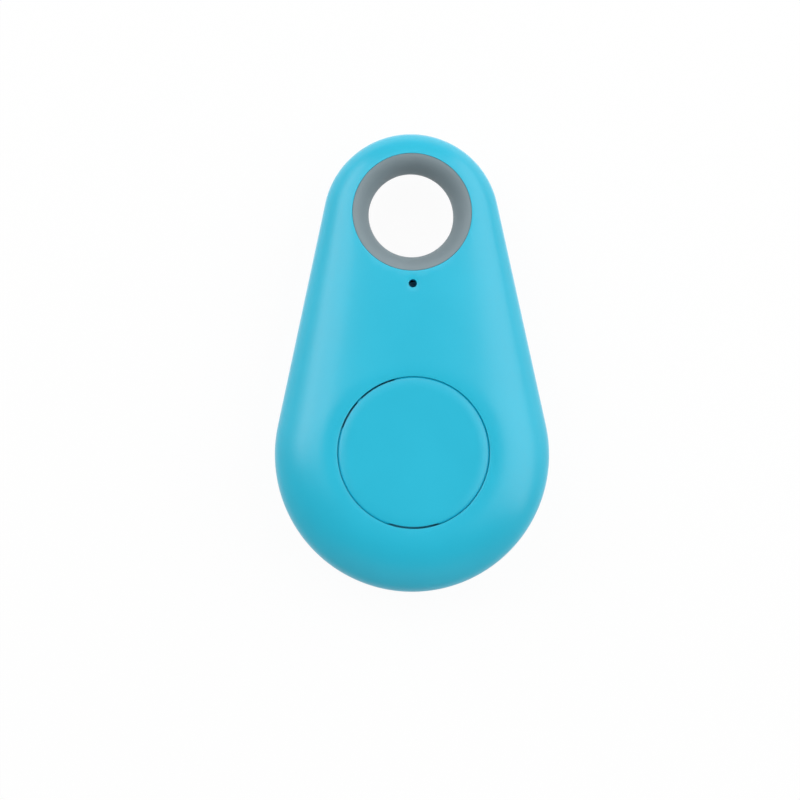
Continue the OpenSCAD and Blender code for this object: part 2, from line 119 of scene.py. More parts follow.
# %% [markdown]
# ## Stage
# The object lies on a white table that fills the background. A white floor alone renders grey where the
# light falls off, so its material mixes in plain white emission for rays that come from the camera or from
# a mirror image in the plastic. The rest stays diffuse, which keeps the contact shadow. The rim of the case
# mirrors the table close by. That mirrored glow is painted light: it is brighter at the key hole than at the
# button, a slope along the tag that stands in for the lamps lighting one end of the table more.

# %% Floor
FLOOR_DROP = 0.05 * MM
FLOOR_SIZE = 4.0
half_floor = FLOOR_SIZE / 2
corners = [(x * half_floor, y * half_floor, -FLOOR_DROP) for x, y in ((-1, -1), (1, -1), (1, 1), (-1, 1))]
floor_mesh = bpy.data.meshes.new("floor")
floor_mesh.from_pydata(corners, [], [(0, 1, 2, 3)])
floor = bpy.data.objects.new("floor", floor_mesh)
bpy.context.collection.objects.link(floor)
print("floor at", -FLOOR_DROP)

# %% Table material
FLOOR_GLOW = 0.95
PAINTED_GLOW_AT_BUTTON = 0.5
PAINTED_GLOW_AT_KEY_HOLE = 1.8
GLOW_REACH = 45 * MM
# Matt white with no shine of its own and a soft shadow under the case. In mirror images it glows, with
# painted light that grows towards the key hole.
paper = new_material("white_table_painted_reflection")
path = add(paper, "LightPath")
mirrored = path.outputs["Is Glossy Ray"]
seen = path.outputs["Is Camera Ray"]
for ray in (mirrored, path.outputs["Is Transmission Ray"]):
    seen = add(paper, "Math", {0: seen, 1: ray}, operation="MAXIMUM").outputs[0]
share = add(paper, "Math", {0: seen, 1: FLOOR_GLOW}, operation="MULTIPLY")
spot = add(paper, "SeparateXYZ", {0: add(paper, "TexCoord").outputs["Object"]})
# Painted reflection: the table's glow in mirror images rises from the button end to the key hole end.
slope = add(paper, "MapRange", {"Value": spot.outputs["Y"], "From Min": -GLOW_REACH, "From Max": GLOW_REACH,
                                "To Min": PAINTED_GLOW_AT_BUTTON, "To Max": PAINTED_GLOW_AT_KEY_HOLE})
strength = add(paper, "Mix", {0: mirrored, 2: 1.0, 3: slope.outputs[0]})
matt = add(paper, "BsdfDiffuse", {"Color": linear("#f4f4f3")})
glow = add(paper, "Emission", {"Color": linear("#ffffff"), "Strength": strength.outputs[0]})
both = add(paper, "MixShader", {0: share.outputs[0], 1: matt.outputs[0], 2: glow.outputs[0]})
add(paper, "OutputMaterial", {"Surface": both.outputs[0]})
floor.data.materials.append(paper)
print("table nodes:", len(paper.node_tree.nodes))

# %% [markdown]
# ## Light
# Softboxes stand left and right of the table. In the photograph they show as the bright bands along both
# sides of the case, and the place and width of those bands give theirs. A softbox isn't even from foot to
# top, so each is a stack of panels with a radiance of its own. One strong lamp would give one hard band,
# and panels give a soft one whose fall to both sides can be balanced against the photograph, panel by
# panel. A weaker box stands behind. In front, a white card lights the lower end, and is kept out of mirror
# images. An even sky fills the shadows. Places and sizes here are in metres.

# %% Softboxes
PANEL_EDGES = (0.06, 0.15, 0.32, 0.72, 1.10)
# Watts per square metre at which a lamp has a radiance of 1.
WATTS_PER_RADIANCE = 4


def softbox(name, place, along, turn, radiances, mirrored=True):
    """Stack of upright panels that face along +Y turned by this angle, listed from the foot up."""
    for i, (low, high, radiance) in enumerate(zip(PANEL_EDGES, PANEL_EDGES[1:], radiances)):
        lamp = bpy.data.lights.new("%s_%d" % (name, i), "AREA")
        lamp.shape = "RECTANGLE"
        lamp.size = along
        lamp.size_y = high - low
        lamp.energy = WATTS_PER_RADIANCE * radiance * along * (high - low)
        obj = bpy.data.objects.new(lamp.name, lamp)
        obj.location = (*place, (low + high) / 2)
        obj.rotation_euler = (math.radians(90), 0, math.radians(turn))
        obj.visible_glossy = mirrored
        bpy.context.collection.objects.link(obj)


softbox("softbox_left", place=(-0.30, 0.24), along=0.50, turn=-90, radiances=(0.7, 2.3, 1.75, 1.9))
softbox("softbox_right", place=(0.30, 0.175), along=0.65, turn=90, radiances=(1.35, 1.6, 1.45, 1.05))
softbox("softbox_behind", place=(0, 0.50), along=0.50, turn=180, radiances=(0.2, 0.2, 0.4, 1.65))
softbox("white_card", place=(0, -0.50), along=0.70, turn=0, radiances=(1.0, 1.0), mirrored=False)

# %% Sky
SKY_FILL = 0.155
SKY_MIRRORED = 0.65
world = bpy.data.worlds.new("studio")
bpy.context.scene.world = world
world.use_nodes = True
world.node_tree.nodes.clear()
path = add(world, "LightPath")
sky = add(world, "Mix", {0: path.outputs["Is Glossy Ray"], 2: SKY_FILL, 3: SKY_MIRRORED})
seen = add(world, "Math", {0: path.outputs["Is Camera Ray"], 1: path.outputs["Is Transmission Ray"]},
           operation="MAXIMUM")
strength = add(world, "Mix", {0: seen.outputs[0], 2: sky.outputs[0], 3: 1.0})
white = add(world, "Background", {"Color": linear("#ffffff"), "Strength": strength.outputs[0]})
add(world, "OutputWorld", {"Surface": white.outputs[0]})
bpy.context.scene.view_settings.view_transform = "Standard"
print("sky fill", SKY_FILL, "and in mirror images", SKY_MIRRORED)

# %% [markdown]
# ## Moulded plastics
# The case and the button are ABS from a spark-eroded mould, so they have a satin skin: a very fine grain
# that softens reflections, and a faint change of gloss where the melt flowed. A noise texture makes the
# grain as bump, and a coarse one shifts colour and roughness a little. A painted texture would do too, but
# the case would have to be unwrapped for it, and noise in object space has no seams. Real grain is about
# 0.1 mm wide or less. It is drawn at up to 0.3 mm, because anything finer falls between the pixels.

# %% Recipe of the plastics
NOISE_LOW = 0.3
NOISE_HIGH = 0.7
GLOSS_SHIFT = 0.02


def moulded(name, colour, tint, roughness, ior, grain_mm, depth_mm, flow_mm=7.0):
    material = new_material(name)
    place = add(material, "TexCoord").outputs["Object"]
    grain = add(material, "TexNoise", {"Vector": place, "Scale": 1 / (grain_mm * MM), "Detail": 2.0})
    flow = add(material, "TexNoise", {"Vector": place, "Scale": 1 / (flow_mm * MM), "Detail": 3.0})
    hue = add(material, "ValToRGB", {"Fac": flow.outputs["Fac"]})
    hue.color_ramp.elements[0].position = NOISE_LOW
    hue.color_ramp.elements[1].position = NOISE_HIGH
    hue.color_ramp.elements[0].color = linear(colour)
    hue.color_ramp.elements[1].color = linear(tint)
    gloss = add(material, "MapRange", {
        "Value": flow.outputs["Fac"], "From Min": NOISE_LOW, "From Max": NOISE_HIGH,
        "To Min": roughness - GLOSS_SHIFT, "To Max": roughness + GLOSS_SHIFT})
    bump = add(material, "Bump", {
        "Height": grain.outputs["Fac"], "Strength": 1.0, "Distance": depth_mm * MM})
    skin = add(material, "BsdfPrincipled", {
        "Base Color": hue.outputs["Color"], "Roughness": gloss.outputs["Result"], "IOR": ior,
        "Normal": bump.outputs["Normal"]})
    add(material, "OutputMaterial", {"Surface": skin.outputs[0]})
    return material


print("gloss shifts by", GLOSS_SHIFT, "where the melt flowed")

# %% [markdown]
# ### Plastics of the tag
# Each plastic starts from the polymer and the way it was shaped, and the recipe above does the rest. Only
# the case and the ring show from outside. The others are seen when the front half is off.

# %% Plastics of the tag
# Satin ABS: soft bands of light instead of sharp ones, in an even, clear colour.
abs_cyan = moulded("satin_moulded_abs_cyan", CASE_CYAN, "#13b8d6", roughness=0.30, ior=1.54,
                   grain_mm=0.25, depth_mm=0.004)
# ABS from a duller mould: a quiet grey with hardly any shine, so the throat of the ring goes evenly dark.
abs_grey = moulded("fine_moulded_abs_grey", "#7a898f", "#7f8e94", roughness=0.65, ior=1.54,
                   grain_mm=0.22, depth_mm=0.004)
# Glass-filled LCP: a deep black whose shine is broken up by the fibres.
lcp_black = moulded("moulded_lcp_black", "#232426", "#29292b", roughness=0.45, ior=1.6,
                    grain_mm=0.15, depth_mm=0.004, flow_mm=3.0)
# Epoxy with ground silica: a dusty black that stays dull from every side.
epoxy_black = moulded("moulded_epoxy_black", "#1f2022", "#262729", roughness=0.55, ior=1.55,
                      grain_mm=0.12, depth_mm=0.005, flow_mm=2.0)
# Nylon: a mid grey with a soft, slightly waxy shine.
nylon_grey = moulded("moulded_nylon_grey", "#4a5053", "#545a5e", roughness=0.5, ior=1.53,
                     grain_mm=0.2, depth_mm=0.004, flow_mm=3.0)
# Extruded PVC: smooth along the wire, with one soft highlight on its back.
pvc_red = moulded("extruded_pvc_red", "#b8332b", "#c43d34", roughness=0.4, ior=1.53,
                  grain_mm=0.2, depth_mm=0.003, flow_mm=2.0)
pvc_black = moulded("extruded_pvc_black", "#262628", "#2e2e30", roughness=0.4, ior=1.53,
                    grain_mm=0.2, depth_mm=0.003, flow_mm=2.0)
print("plastics:", [m.name for m in bpy.data.materials if "moulded" in m.name or "pvc" in m.name])

# %% [markdown]
# ## Shape of the case
# The case is a hull: a large round end, a small one, and the tightest skin round both. Each end is a disc
# with a flat top, a wide shoulder arc, a tighter edge arc and a short straight wall. A convex hull of fine
# discs would do, but it leaves long thin triangles that shade badly. A hull of two such discs is also a
# family of discs that change evenly from one end to the other, so its skin can be written down: rows of
# points that all lean by the same angle, each row an arc, a straight side, an arc and a straight side.

# %% Sizes of the case
case_low = Vector([min(a, b) for a, b in zip(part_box("front_shell")[0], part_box("rear_shell")[0])]) / MM
case_high = Vector([max(a, b) for a, b in zip(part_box("front_shell")[1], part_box("rear_shell")[1])]) / MM
BODY_R = (case_high.x - case_low.x) / 2
TAIL_R = 10.0
BODY_Y = case_low.y + BODY_R
TAIL_Y = case_high.y - TAIL_R
END_GAP = TAIL_Y - BODY_Y
SEAM_Z = case_high.z / 2
TAIL_THICK = 7.1
SHOULDER_W = 6.2
EDGE_R = 3.0
SIDE_H = 1.0
WALL = 1.4
print("case %.1f x %.1f x %.1f mm" % tuple(case_high - case_low))

# %% [markdown]
# ### Section of both ends
# The values in this cell are pairs, the first for the large end and the second for the small one. The crown
# is the arc of the shoulder. Its radius follows from the rule that it runs flat out of the face and meets
# the edge arc without a kink, at the lean called TURN.

# %% Section of both ends
RADIUS = np.array([BODY_R, TAIL_R])
HALF = np.array([case_high.z / 2, TAIL_THICK / 2])
SHOULDER = SHOULDER_W * RADIUS / BODY_R
EDGE = EDGE_R * HALF / HALF[0]
SIDE = SIDE_H * HALF / HALF[0]
RISE = HALF - SIDE
CROWN = ((SHOULDER - EDGE) ** 2 + RISE ** 2 - EDGE ** 2) / (2 * (RISE - EDGE))
TURN = np.arctan2(SHOULDER - EDGE, CROWN - RISE)


def ends_at(lean, inset):
    """Radius and height above the seam of both ends where the skin leans by this angle."""
    on_crown = lean <= TURN
    reach = np.where(on_crown, CROWN, EDGE) - inset
    middle = np.where(on_crown, RADIUS - SHOULDER, RADIUS - EDGE)
    floor_z = np.where(on_crown, HALF - CROWN, SIDE)
    return middle + reach * math.sin(lean), floor_z + reach * math.cos(lean)


print("crown radii", CROWN.round(2), "kink-free at", np.degrees(TURN).round(1), "degrees")

# %% [markdown]
# ### Rows and heights of the skin
# One function gives a closed row of points for a lean, which is how the sides are meshed. The other gives
# the height of the face over any point, which is how the face and all that stands in it are meshed.

# %% Rows of the skin
ROUND_LARGE_END = 120
ALONG_SIDE = 36
ROUND_SMALL_END = 88


def skin_row(lean, inset, flat_z=None):
    """Closed row of points round the case, anticlockwise from the left side of the large end.

    With flat_z they all lie at that height above the seam.
    """
    r, z = ends_at(lean, inset)
    support = r * math.sin(lean) + z * math.cos(lean)
    heading = math.asin((support[0] - support[1]) / (END_GAP * math.sin(lean)))
    large = np.linspace(math.pi - heading, 2 * math.pi + heading, ROUND_LARGE_END)
    small = np.linspace(heading, math.pi - heading, ROUND_SMALL_END)
    start, end = (np.array((r[i] * math.cos(heading), y + r[i] * math.sin(heading), z[i]))
                  for i, y in enumerate((BODY_Y, TAIL_Y)))
    side = [tuple(start + (end - start) * i / ALONG_SIDE) for i in range(1, ALONG_SIDE)]
    points = [(r[0] * math.cos(a), BODY_Y + r[0] * math.sin(a), z[0]) for a in large]
    points += side
    points += [(r[1] * math.cos(a), TAIL_Y + r[1] * math.sin(a), z[1]) for a in small]
    points += [(-x, y, h) for x, y, h in reversed(side)]
    if flat_z is not None:
        points = [(x, y, flat_z) for x, y, _ in points]
    return points


print("points in a row:", len(skin_row(math.pi / 2, 0)))

# %% Height of the face
DISCS = 301


def skin_height(x, y, inset):
    """Height of the face above the seam: the highest of all the discs between the two ends."""
    t = np.linspace(0, 1, DISCS)

    def between(pair):
        return pair[0] + (pair[1] - pair[0]) * t

    x = np.asarray(x, float)[..., None]
    y = np.asarray(y, float)[..., None]
    run = np.hypot(x, y - BODY_Y - END_GAP * t) - between(RADIUS - SHOULDER)
    reach = between(CROWN) - inset
    inside = run < reach * np.sin(between(TURN))
    drop = np.sqrt(np.maximum(reach ** 2 - np.clip(run, 0, None) ** 2, 0))
    return np.where(inside, between(HALF - CROWN) + drop, -np.inf).max(axis=-1)


print("face height at the button and the key hole:", skin_height([0, 0], [BODY_Y, TAIL_Y], 0).round(3))

# %% [markdown]
# ## Mesh helpers
# The pieces could be modelled by hand, but then their sizes would come loose from the frame. So every new
# piece is built in code, in a bmesh in millimetres. A row is a list of vertices, and two rows are bridged
# with quads. A lathe turns a profile round an upright axis, as a turned mould insert would cut it. When a
# piece is done, it is scaled to metres, its normals are made to point outwards, and it rides on the body
# that carries it.

# %% Rows, arcs and lathes
def row_of(bm, points):
    return [bm.verts.new(p) for p in points]


def bridge(bm, one, other):
    """Joins two closed rows with quads, or with triangles where one row is a single point."""
    for i in range(max(len(one), len(other))):
        corners = [row[k % len(row)] for row, k in ((one, i - 1), (one, i), (other, i), (other, i - 1))]
        bm.faces.new(list(dict.fromkeys(corners)))


def arc(middle, radius, start, end, steps):
    """Points of an arc between two angles in degrees."""
    angles = [math.radians(start + (end - start) * i / steps) for i in range(steps + 1)]
    return [(middle[0] + radius * math.cos(a), middle[1] + radius * math.sin(a)) for a in angles]


def lathe(bm, profile, x=0.0, y=0.0, segments=48, closed=False):
    """Turns a profile of (radius, height); a closed one joins its end to its start."""
    rows = []
    for r, z in profile:
        turns = segments if r > 0 else 1
        angles = [2 * math.pi * i / turns for i in range(turns)]
        rows.append(row_of(bm, [(x + r * math.cos(a), y + r * math.sin(a), z) for a in angles]))
    for one, other in zip(rows, rows[1:] + rows[:1] if closed else rows[1:]):
        bridge(bm, one, other)


print("an arc of 90 degrees in 2 steps:", [(round(x, 2), round(y, 2)) for x, y in arc((0, 0), 1, 0, 90, 2)])

# %% Blocks and finished pieces
SHARP_DEGREES = 40


def block(bm, low, high, bevel):
    middle = (Vector(low) + Vector(high)) / 2
    size = Vector(high) - Vector(low)
    made = bmesh.ops.create_cube(bm, size=1, matrix=Matrix.LocRotScale(middle, None, size))
    edges = list(dict.fromkeys(e for v in made["verts"] for e in v.link_edges))
    bmesh.ops.bevel(bm, geom=edges, offset=bevel, segments=2, profile=0.5, affect="EDGES")


def make_piece(bm, name, material, body, stands_for=(), sharp=SHARP_DEGREES):
    bmesh.ops.recalc_face_normals(bm, faces=bm.faces)
    bmesh.ops.scale(bm, vec=(MM, MM, MM), verts=bm.verts)
    mesh = bpy.data.meshes.new(name)
    bm.to_mesh(mesh)
    bm.free()
    mesh.materials.append(material)
    mesh.shade_smooth()
    mesh.set_sharp_from_angle(angle=math.radians(sharp))
    obj = bpy.data.objects.new(name, mesh)
    bpy.context.collection.objects.link(obj)
    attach(obj, body)
    if stands_for:
        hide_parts(*stands_for)
    print(name, len(mesh.vertices), "vertices on", body)
    return obj


print("edges over", SHARP_DEGREES, "degrees stay sharp")

# %% [markdown]
# ## Face of the case
# Inside the first row the face is nearly flat, but it has round holes in it. A grid of points and the rings
# of the holes are triangulated in the plane with the rings kept as edges, which gives even triangles that
# meet each ring exactly. Each point is then lifted to the height of the skin. Cutting the holes out of a
# full face would do too, but it leaves slivers round them that show in the reflections.

# %% Points of the face
ROW_STEP = 0.866
BORDER_CLEAR = 0.6
HOLE_CLEAR = 0.5


def ring_points(y, radius, segments):
    angles = [2 * math.pi * i / segments for i in range(segments)]
    return [(radius * math.cos(a), y + radius * math.sin(a)) for a in angles]


def within(points, loop):
    """Which points lie inside a loop: a line to the right of them crosses it an odd number of times."""
    x, y = points[:, :1], points[:, 1:]
    (x0, y0), (x1, y1) = loop.T, np.roll(loop, -1, axis=0).T
    crossing = (y0 > y) != (y1 > y)
    at = x0 + (y - y0) * (x1 - x0) / np.where(y1 == y0, 1, y1 - y0)
    return (crossing & (x < at)).sum(axis=1) % 2 == 1


def face_grid(edge, holes, spacing):
    """Staggered rows of points that keep a share of the spacing away from the border and the holes."""
    low = edge[:, 1].min()
    columns = int(BODY_R / spacing)
    rows = int((edge[:, 1].max() - low) / (spacing * ROW_STEP)) + 1
    grid = np.array([((i + 0.5 * (j % 2)) * spacing, low + j * spacing * ROW_STEP)
                     for j in range(rows) for i in range(-columns, columns + 1)])
    gap = np.hypot(grid[:, None, 0] - edge[:, 0], grid[:, None, 1] - edge[:, 1]).min(axis=1)
    keep = within(grid, edge) & (gap > spacing * BORDER_CLEAR)
    for y, radius, _ in holes:
        keep &= np.hypot(grid[:, 0], grid[:, 1] - y) > radius + min(spacing * HOLE_CLEAR, radius)
    return [tuple(p) for p in grid[keep]]


print("a ring of 4 points:", [(round(x), round(y)) for x, y in ring_points(0, 1, 4)])

# %% Face with holes
SAME_POINT = 1e-6


def face_with_holes(bm, border, holes, inset, sign, spacing):
    """Fills the border row, and returns the ring of vertices round each hole."""
    edge = np.array([(v.co.x, v.co.y) for v in border])
    points = [tuple(p) for p in edge]
    loops = [list(range(len(edge)))]
    for hole in holes:
        ring = ring_points(*hole)
        loops.append(list(range(len(points), len(points) + len(ring))))
        points += ring
    edges = [(a, b) for loop in loops for a, b in zip(loop, loop[1:] + loop[:1])]
    points += face_grid(edge, holes, spacing)
    flat = [Vector(p) for p in points]
    _, _, triangles, origin, _, _ = geometry.delaunay_2d_cdt(flat, edges, [], 0, SAME_POINT)
    heights = skin_height(*zip(*points), inset) * sign + SEAM_Z
    lifted = [(*p, h) for p, h in zip(points, heights)]
    verts = list(border) + row_of(bm, lifted[len(edge):])
    source = [o[0] for o in origin]
    middles = np.array([np.mean([points[source[i]] for i in t], axis=0) for t in triangles])
    hole_sets = [set(loop) for loop in loops[1:]]
    for triangle, inside in zip(triangles, within(middles, edge)):
        corners = [source[i] for i in triangle]
        if inside and not any(hole.issuperset(corners) for hole in hole_sets):
            bm.faces.new([verts[c] for c in corners])
    return [[verts[i] for i in loop] for loop in loops[1:]]


print("points closer than", SAME_POINT, "mm count as one")

# %% [markdown]
# ## The two halves of the case
# Each half is a shell of one wall thickness: outer skin, seam, inner skin, and the walls of the holes
# between them. The front half carries a tongue along the seam that goes into a rebate of the rear half. A
# modifier could thicken one skin to a wall, but it can't draw the tongue, so both skins are drawn as rows.
# Mould edges are never knife sharp, so each hole gets a small rounding, and both halves a small bevel along
# the seam, which draws the fine line round the case.

# %% Walls of the holes
MOUTH_TURNS = (30, 60, 90)


def hole_wall(bm, hole, sign, top, bottom):
    """Rounds the mouth of a hole from its top ring, and goes straight to its bottom ring."""
    y, radius, segments, rounding = hole
    above = top
    for turn in MOUTH_TURNS:
        back = rounding * (1 - math.sin(math.radians(turn)))
        down = rounding * (1 - math.cos(math.radians(turn)))
        ring = ring_points(y, radius + back, segments)
        heights = skin_height(*zip(*ring), 0) - down
        below = row_of(bm, [(*p, SEAM_Z + sign * h) for p, h in zip(ring, heights)])
        bridge(bm, above, below)
        above = below
    bridge(bm, above, bottom)


print("mouths of the holes are rounded in", len(MOUTH_TURNS), "steps")

# %% Half shells
FACE_LEAN = math.radians(26)
INNER_LEAN = math.radians(48)
OUTER_STEPS = 22
INNER_STEPS = 8
FACE_GRID = 0.7
INNER_GRID = FACE_GRID * 1.5


def leans(start, steps):
    return [start + (math.pi / 2 - start) * i / steps for i in range(steps + 1)]


def half_shell(bm, sign, holes, seam):
    """sign +1 is the front half and -1 the rear one.

    holes lists (y, radius, segments, rounding), and seam lists (inset, height over the seam) from outside
    to inside.
    """
    skins = [skin_row(lean, 0) for lean in leans(FACE_LEAN, OUTER_STEPS)]
    skins += [skin_row(math.pi / 2, inset, flat_z=z) for inset, z in seam]
    skins += [skin_row(lean, WALL) for lean in reversed(leans(INNER_LEAN, INNER_STEPS))]
    rows = [row_of(bm, [(x, y, SEAM_Z + sign * z) for x, y, z in points]) for points in skins]
    for one, other in zip(rows, rows[1:]):
        bridge(bm, one, other)
    mouths = [(y, radius + rounding, segments) for y, radius, segments, rounding in holes]
    throats = [(y, radius, segments) for y, radius, segments, _ in holes]
    outer = face_with_holes(bm, rows[0], mouths, 0, sign, FACE_GRID)
    inner = face_with_holes(bm, rows[-1], throats, WALL, sign, INNER_GRID)
    for hole, top, bottom in zip(holes, outer, inner):
        hole_wall(bm, hole, sign, top, bottom)


print("face inside a lean of %.0f degrees" % math.degrees(FACE_LEAN))

# %% [markdown]
# ### Holes and seam
# The key hole, the button's opening and the pinhole are placed by the nodes that lie in or under them, so
# they stay in line with those when the CAD model changes. Each is given by its y, its radius, its segments
# and the rounding of its mouth. The tongue is thinner than the wall and has a little air round it, as two
# mouldings that are pressed together need.

# %% Holes and seam
HOLE_Y = (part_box("keyhole_liner")[0].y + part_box("keyhole_liner")[1].y) / 2 / MM
LINER_R = 6.7
SEAT_GAP = 0.05
KEY_HOLE = (HOLE_Y, LINER_R + SEAT_GAP, 96, 0.03)
BUTTON_GAP = 0.2
FLANGE_W = 0.8
BUTTON_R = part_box("button_cap")[1].x / MM - FLANGE_W
BUTTON_HOLE = (BODY_Y, BUTTON_R + BUTTON_GAP, 144, 0.05)
PINHOLE_R = 0.46
PINHOLE_Y = (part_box("led_base")[0].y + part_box("led_base")[1].y) / 2 / MM
PINHOLE_SEGMENTS = 32
PINHOLE = (PINHOLE_Y, PINHOLE_R, PINHOLE_SEGMENTS, 0.06)
SEAM_BEVEL = 0.12
TONGUE_H = 1.0
TONGUE_T = 0.6
FIT_GAP = 0.1


def wall_middle(x, y):
    """Height above the seam at which a boss can end, hidden inside the wall."""
    return float(skin_height([x], [y], WALL / 2)[0])


print("key hole at %.2f, pinhole at %.2f, button radius %.2f" % (HOLE_Y, PINHOLE_Y, BUTTON_R))

# %% [markdown]
# ### Posts
# Four posts of the rear half carry the board, two beside the cell and two beyond it. Each ends in a peg that
# goes through the board into a boss of the front half.

# %% Posts
BOARD_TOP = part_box("circuit_board")[1].z / MM
BOARD_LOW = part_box("circuit_board")[0].z / MM
CELL_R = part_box("battery_can")[1].x / MM
POST_R = 1.1
CELL_TO_POST = 0.7
POST_RING = CELL_R + CELL_TO_POST + POST_R
POST_ANGLE = math.radians(35)
LOWER_POST = (POST_RING * math.cos(POST_ANGLE), BODY_Y - POST_RING * math.sin(POST_ANGLE))
UPPER_POST = (7.5, BODY_Y + CELL_R + 3.5)
POSTS = [(side * x, y) for side in (-1, 1) for x, y in (LOWER_POST, UPPER_POST)]
PEG_R = 0.6
PEG_UP = 0.8
print("posts at", [(round(x, 2), round(y, 2)) for x, y in POSTS])

# %% [markdown]
# ### Front half
# Inside, four bosses press on the board and take the pegs of the rear half, and a thin tunnel leads the
# light to the pinhole. They are turned pieces that end inside the wall, where the mould would blend them in.

# %% Front half
BOSS_R = 1.4
BOSS_EDGE = 0.1
PEG_HOLE_R = 0.75
TUNNEL_R = PINHOLE_R + 0.35
FRONT_SEAM = [(0, SEAM_BEVEL), (SEAM_BEVEL, 0), (WALL - TONGUE_T, 0),
              (WALL - TONGUE_T, -TONGUE_H), (WALL, -TONGUE_H)]

bm = bmesh.new()
half_shell(bm, 1, [BUTTON_HOLE, KEY_HOLE, PINHOLE], FRONT_SEAM)
boss_low = BOARD_TOP + SEAT_GAP
hole_top = BOARD_TOP + PEG_UP + 2 * FIT_GAP
for x, y in POSTS:
    top = SEAM_Z + wall_middle(x, y)
    lathe(bm, [(0, hole_top), (PEG_HOLE_R, hole_top), (PEG_HOLE_R, boss_low), (BOSS_R - BOSS_EDGE, boss_low),
               (BOSS_R, boss_low + BOSS_EDGE), (BOSS_R, top), (0, top)], x, y)
tunnel_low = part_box("led_lens")[1].z / MM + FIT_GAP
tunnel_top = SEAM_Z + wall_middle(0, PINHOLE_Y)
lathe(bm, [(PINHOLE_R, tunnel_low), (TUNNEL_R, tunnel_low), (TUNNEL_R, tunnel_top), (PINHOLE_R, tunnel_top)],
      0, PINHOLE_Y, PINHOLE_SEGMENTS, closed=True)
make_piece(bm, "front_half", abs_cyan, "front_cover", ["front_shell"])

# %% [markdown]
# ### Rear half
# The rear half carries what the front one presses on: the posts with their pegs, three curved stops round
# the cell and a low ring that centres the buzzer. A stop is a short wall along an arc, whose foot follows
# the curve of the case.

# %% Stops round the cell
STOPS = ((52, 21), (107, 21), (257, 26))
STOP_STEPS = 10
STOP_R = CELL_R + 0.3
STOP_T = 0.8
STOP_TOP = (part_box("battery_can")[0].z / MM) + 1.6


def rear_floor(x, y):
    return SEAM_Z - wall_middle(x, y)


def curved_stop(bm, start, turn):
    """Wall from an angle in degrees on, through a turn of this many degrees."""
    rows = []
    for i in range(STOP_STEPS + 1):
        a = math.radians(start + turn * i / STOP_STEPS)
        inner, outer = ((r * math.cos(a), BODY_Y + r * math.sin(a)) for r in (STOP_R, STOP_R + STOP_T))
        rows.append(row_of(bm, [(*inner, rear_floor(*inner)), (*outer, rear_floor(*outer)),
                                (*outer, STOP_TOP), (*inner, STOP_TOP)]))
    for one, other in zip(rows, rows[1:]):
        bridge(bm, one, other)
    bm.faces.new(rows[0])
    bm.faces.new(rows[-1])


print("stops start at", [start for start, _ in STOPS], "degrees")

# %% Rear half
POST_EDGE = 0.08
PEG_EDGE = 0.15
SEAT_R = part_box("buzzer_plate")[1].x / MM + 0.2
SEAT_T = 0.6
SEAT_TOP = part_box("buzzer_plate")[0].z / MM + 0.4
SEAT_SEGMENTS = 96
rebate = WALL - TONGUE_T - FIT_GAP
REAR_SEAM = [(0, SEAM_BEVEL), (SEAM_BEVEL, 0), (rebate, 0),
             (rebate, TONGUE_H + FIT_GAP), (WALL, TONGUE_H + FIT_GAP)]

bm = bmesh.new()
half_shell(bm, -1, [KEY_HOLE], REAR_SEAM)
peg_top = BOARD_TOP + PEG_UP
for x, y in POSTS:
    lathe(bm, [(0, rear_floor(x, y)), (POST_R, rear_floor(x, y)), (POST_R, BOARD_LOW - POST_EDGE),
               (POST_R - POST_EDGE, BOARD_LOW), (PEG_R, BOARD_LOW), (PEG_R, peg_top - PEG_EDGE),
               (PEG_R - PEG_EDGE, peg_top), (0, peg_top)], x, y)
for start, turn in STOPS:
    curved_stop(bm, start, turn)
lathe(bm, [(SEAT_R, WALL / 2), (SEAT_R + SEAT_T, WALL / 2), (SEAT_R + SEAT_T, SEAT_TOP), (SEAT_R, SEAT_TOP)],
      0, BODY_Y, SEAT_SEGMENTS, closed=True)
make_piece(bm, "rear_half", abs_cyan, "rear_case", ["rear_shell"])

# %% [markdown]
# ## Ring of the key hole
# A grey ring lines the key hole so that a steel key ring doesn't wear the case. Its mouths are rounded: a
# piece of an ellipse from the rim down to a short straight throat. Its rim follows the case, whose face
# slopes and curves down here, so it isn't a plain lathe: at each angle round the hole the section is drawn
# again, from the height of the face at that place.

# %% Section of the ring
THROAT_R = 4.85
THROAT_LAND = 1.6
STEP_R = LINER_R + 0.5
RIM_R = LINER_R + 0.03
RIM_ROUND = 0.03
MOUTH_STEPS = 18
MOUTH_TURN = (math.radians(4), math.radians(78))
FACE_SLOPE = (HALF[0] - HALF[1]) / (END_GAP + TAIL_R - SHOULDER[1] - BODY_R + SHOULDER[0])


def ring_section(angle):
    """Half of the section from the hidden step over the rim down to the throat, as (radius, height)."""
    def face(r, inset):
        return float(skin_height([r * math.cos(angle)], [HOLE_Y + r * math.sin(angle)], inset)[0])

    mouth_r = RIM_R - RIM_ROUND
    mouth_z = face(mouth_r, SEAT_GAP)
    throat_z = THROAT_LAND / 2 - FACE_SLOPE * THROAT_R * math.sin(angle)
    points = [(r, face(r, WALL + SEAT_GAP)) for r in (STEP_R, LINER_R)]
    points.append((RIM_R, mouth_z - RIM_ROUND))
    first, last = MOUTH_TURN
    for i in range(MOUTH_STEPS + 1):
        turn = first + (last - first) * i / MOUTH_STEPS
        inwards = (math.sin(turn) - math.sin(first)) / (math.sin(last) - math.sin(first))
        down = (math.cos(first) - math.cos(turn)) / (math.cos(first) - math.cos(last))
        points.append((mouth_r + (THROAT_R - mouth_r) * inwards, mouth_z + (throat_z - mouth_z) * down))
    return points


print("face slopes by %.1f degrees at the ring" % math.degrees(math.atan(FACE_SLOPE)))

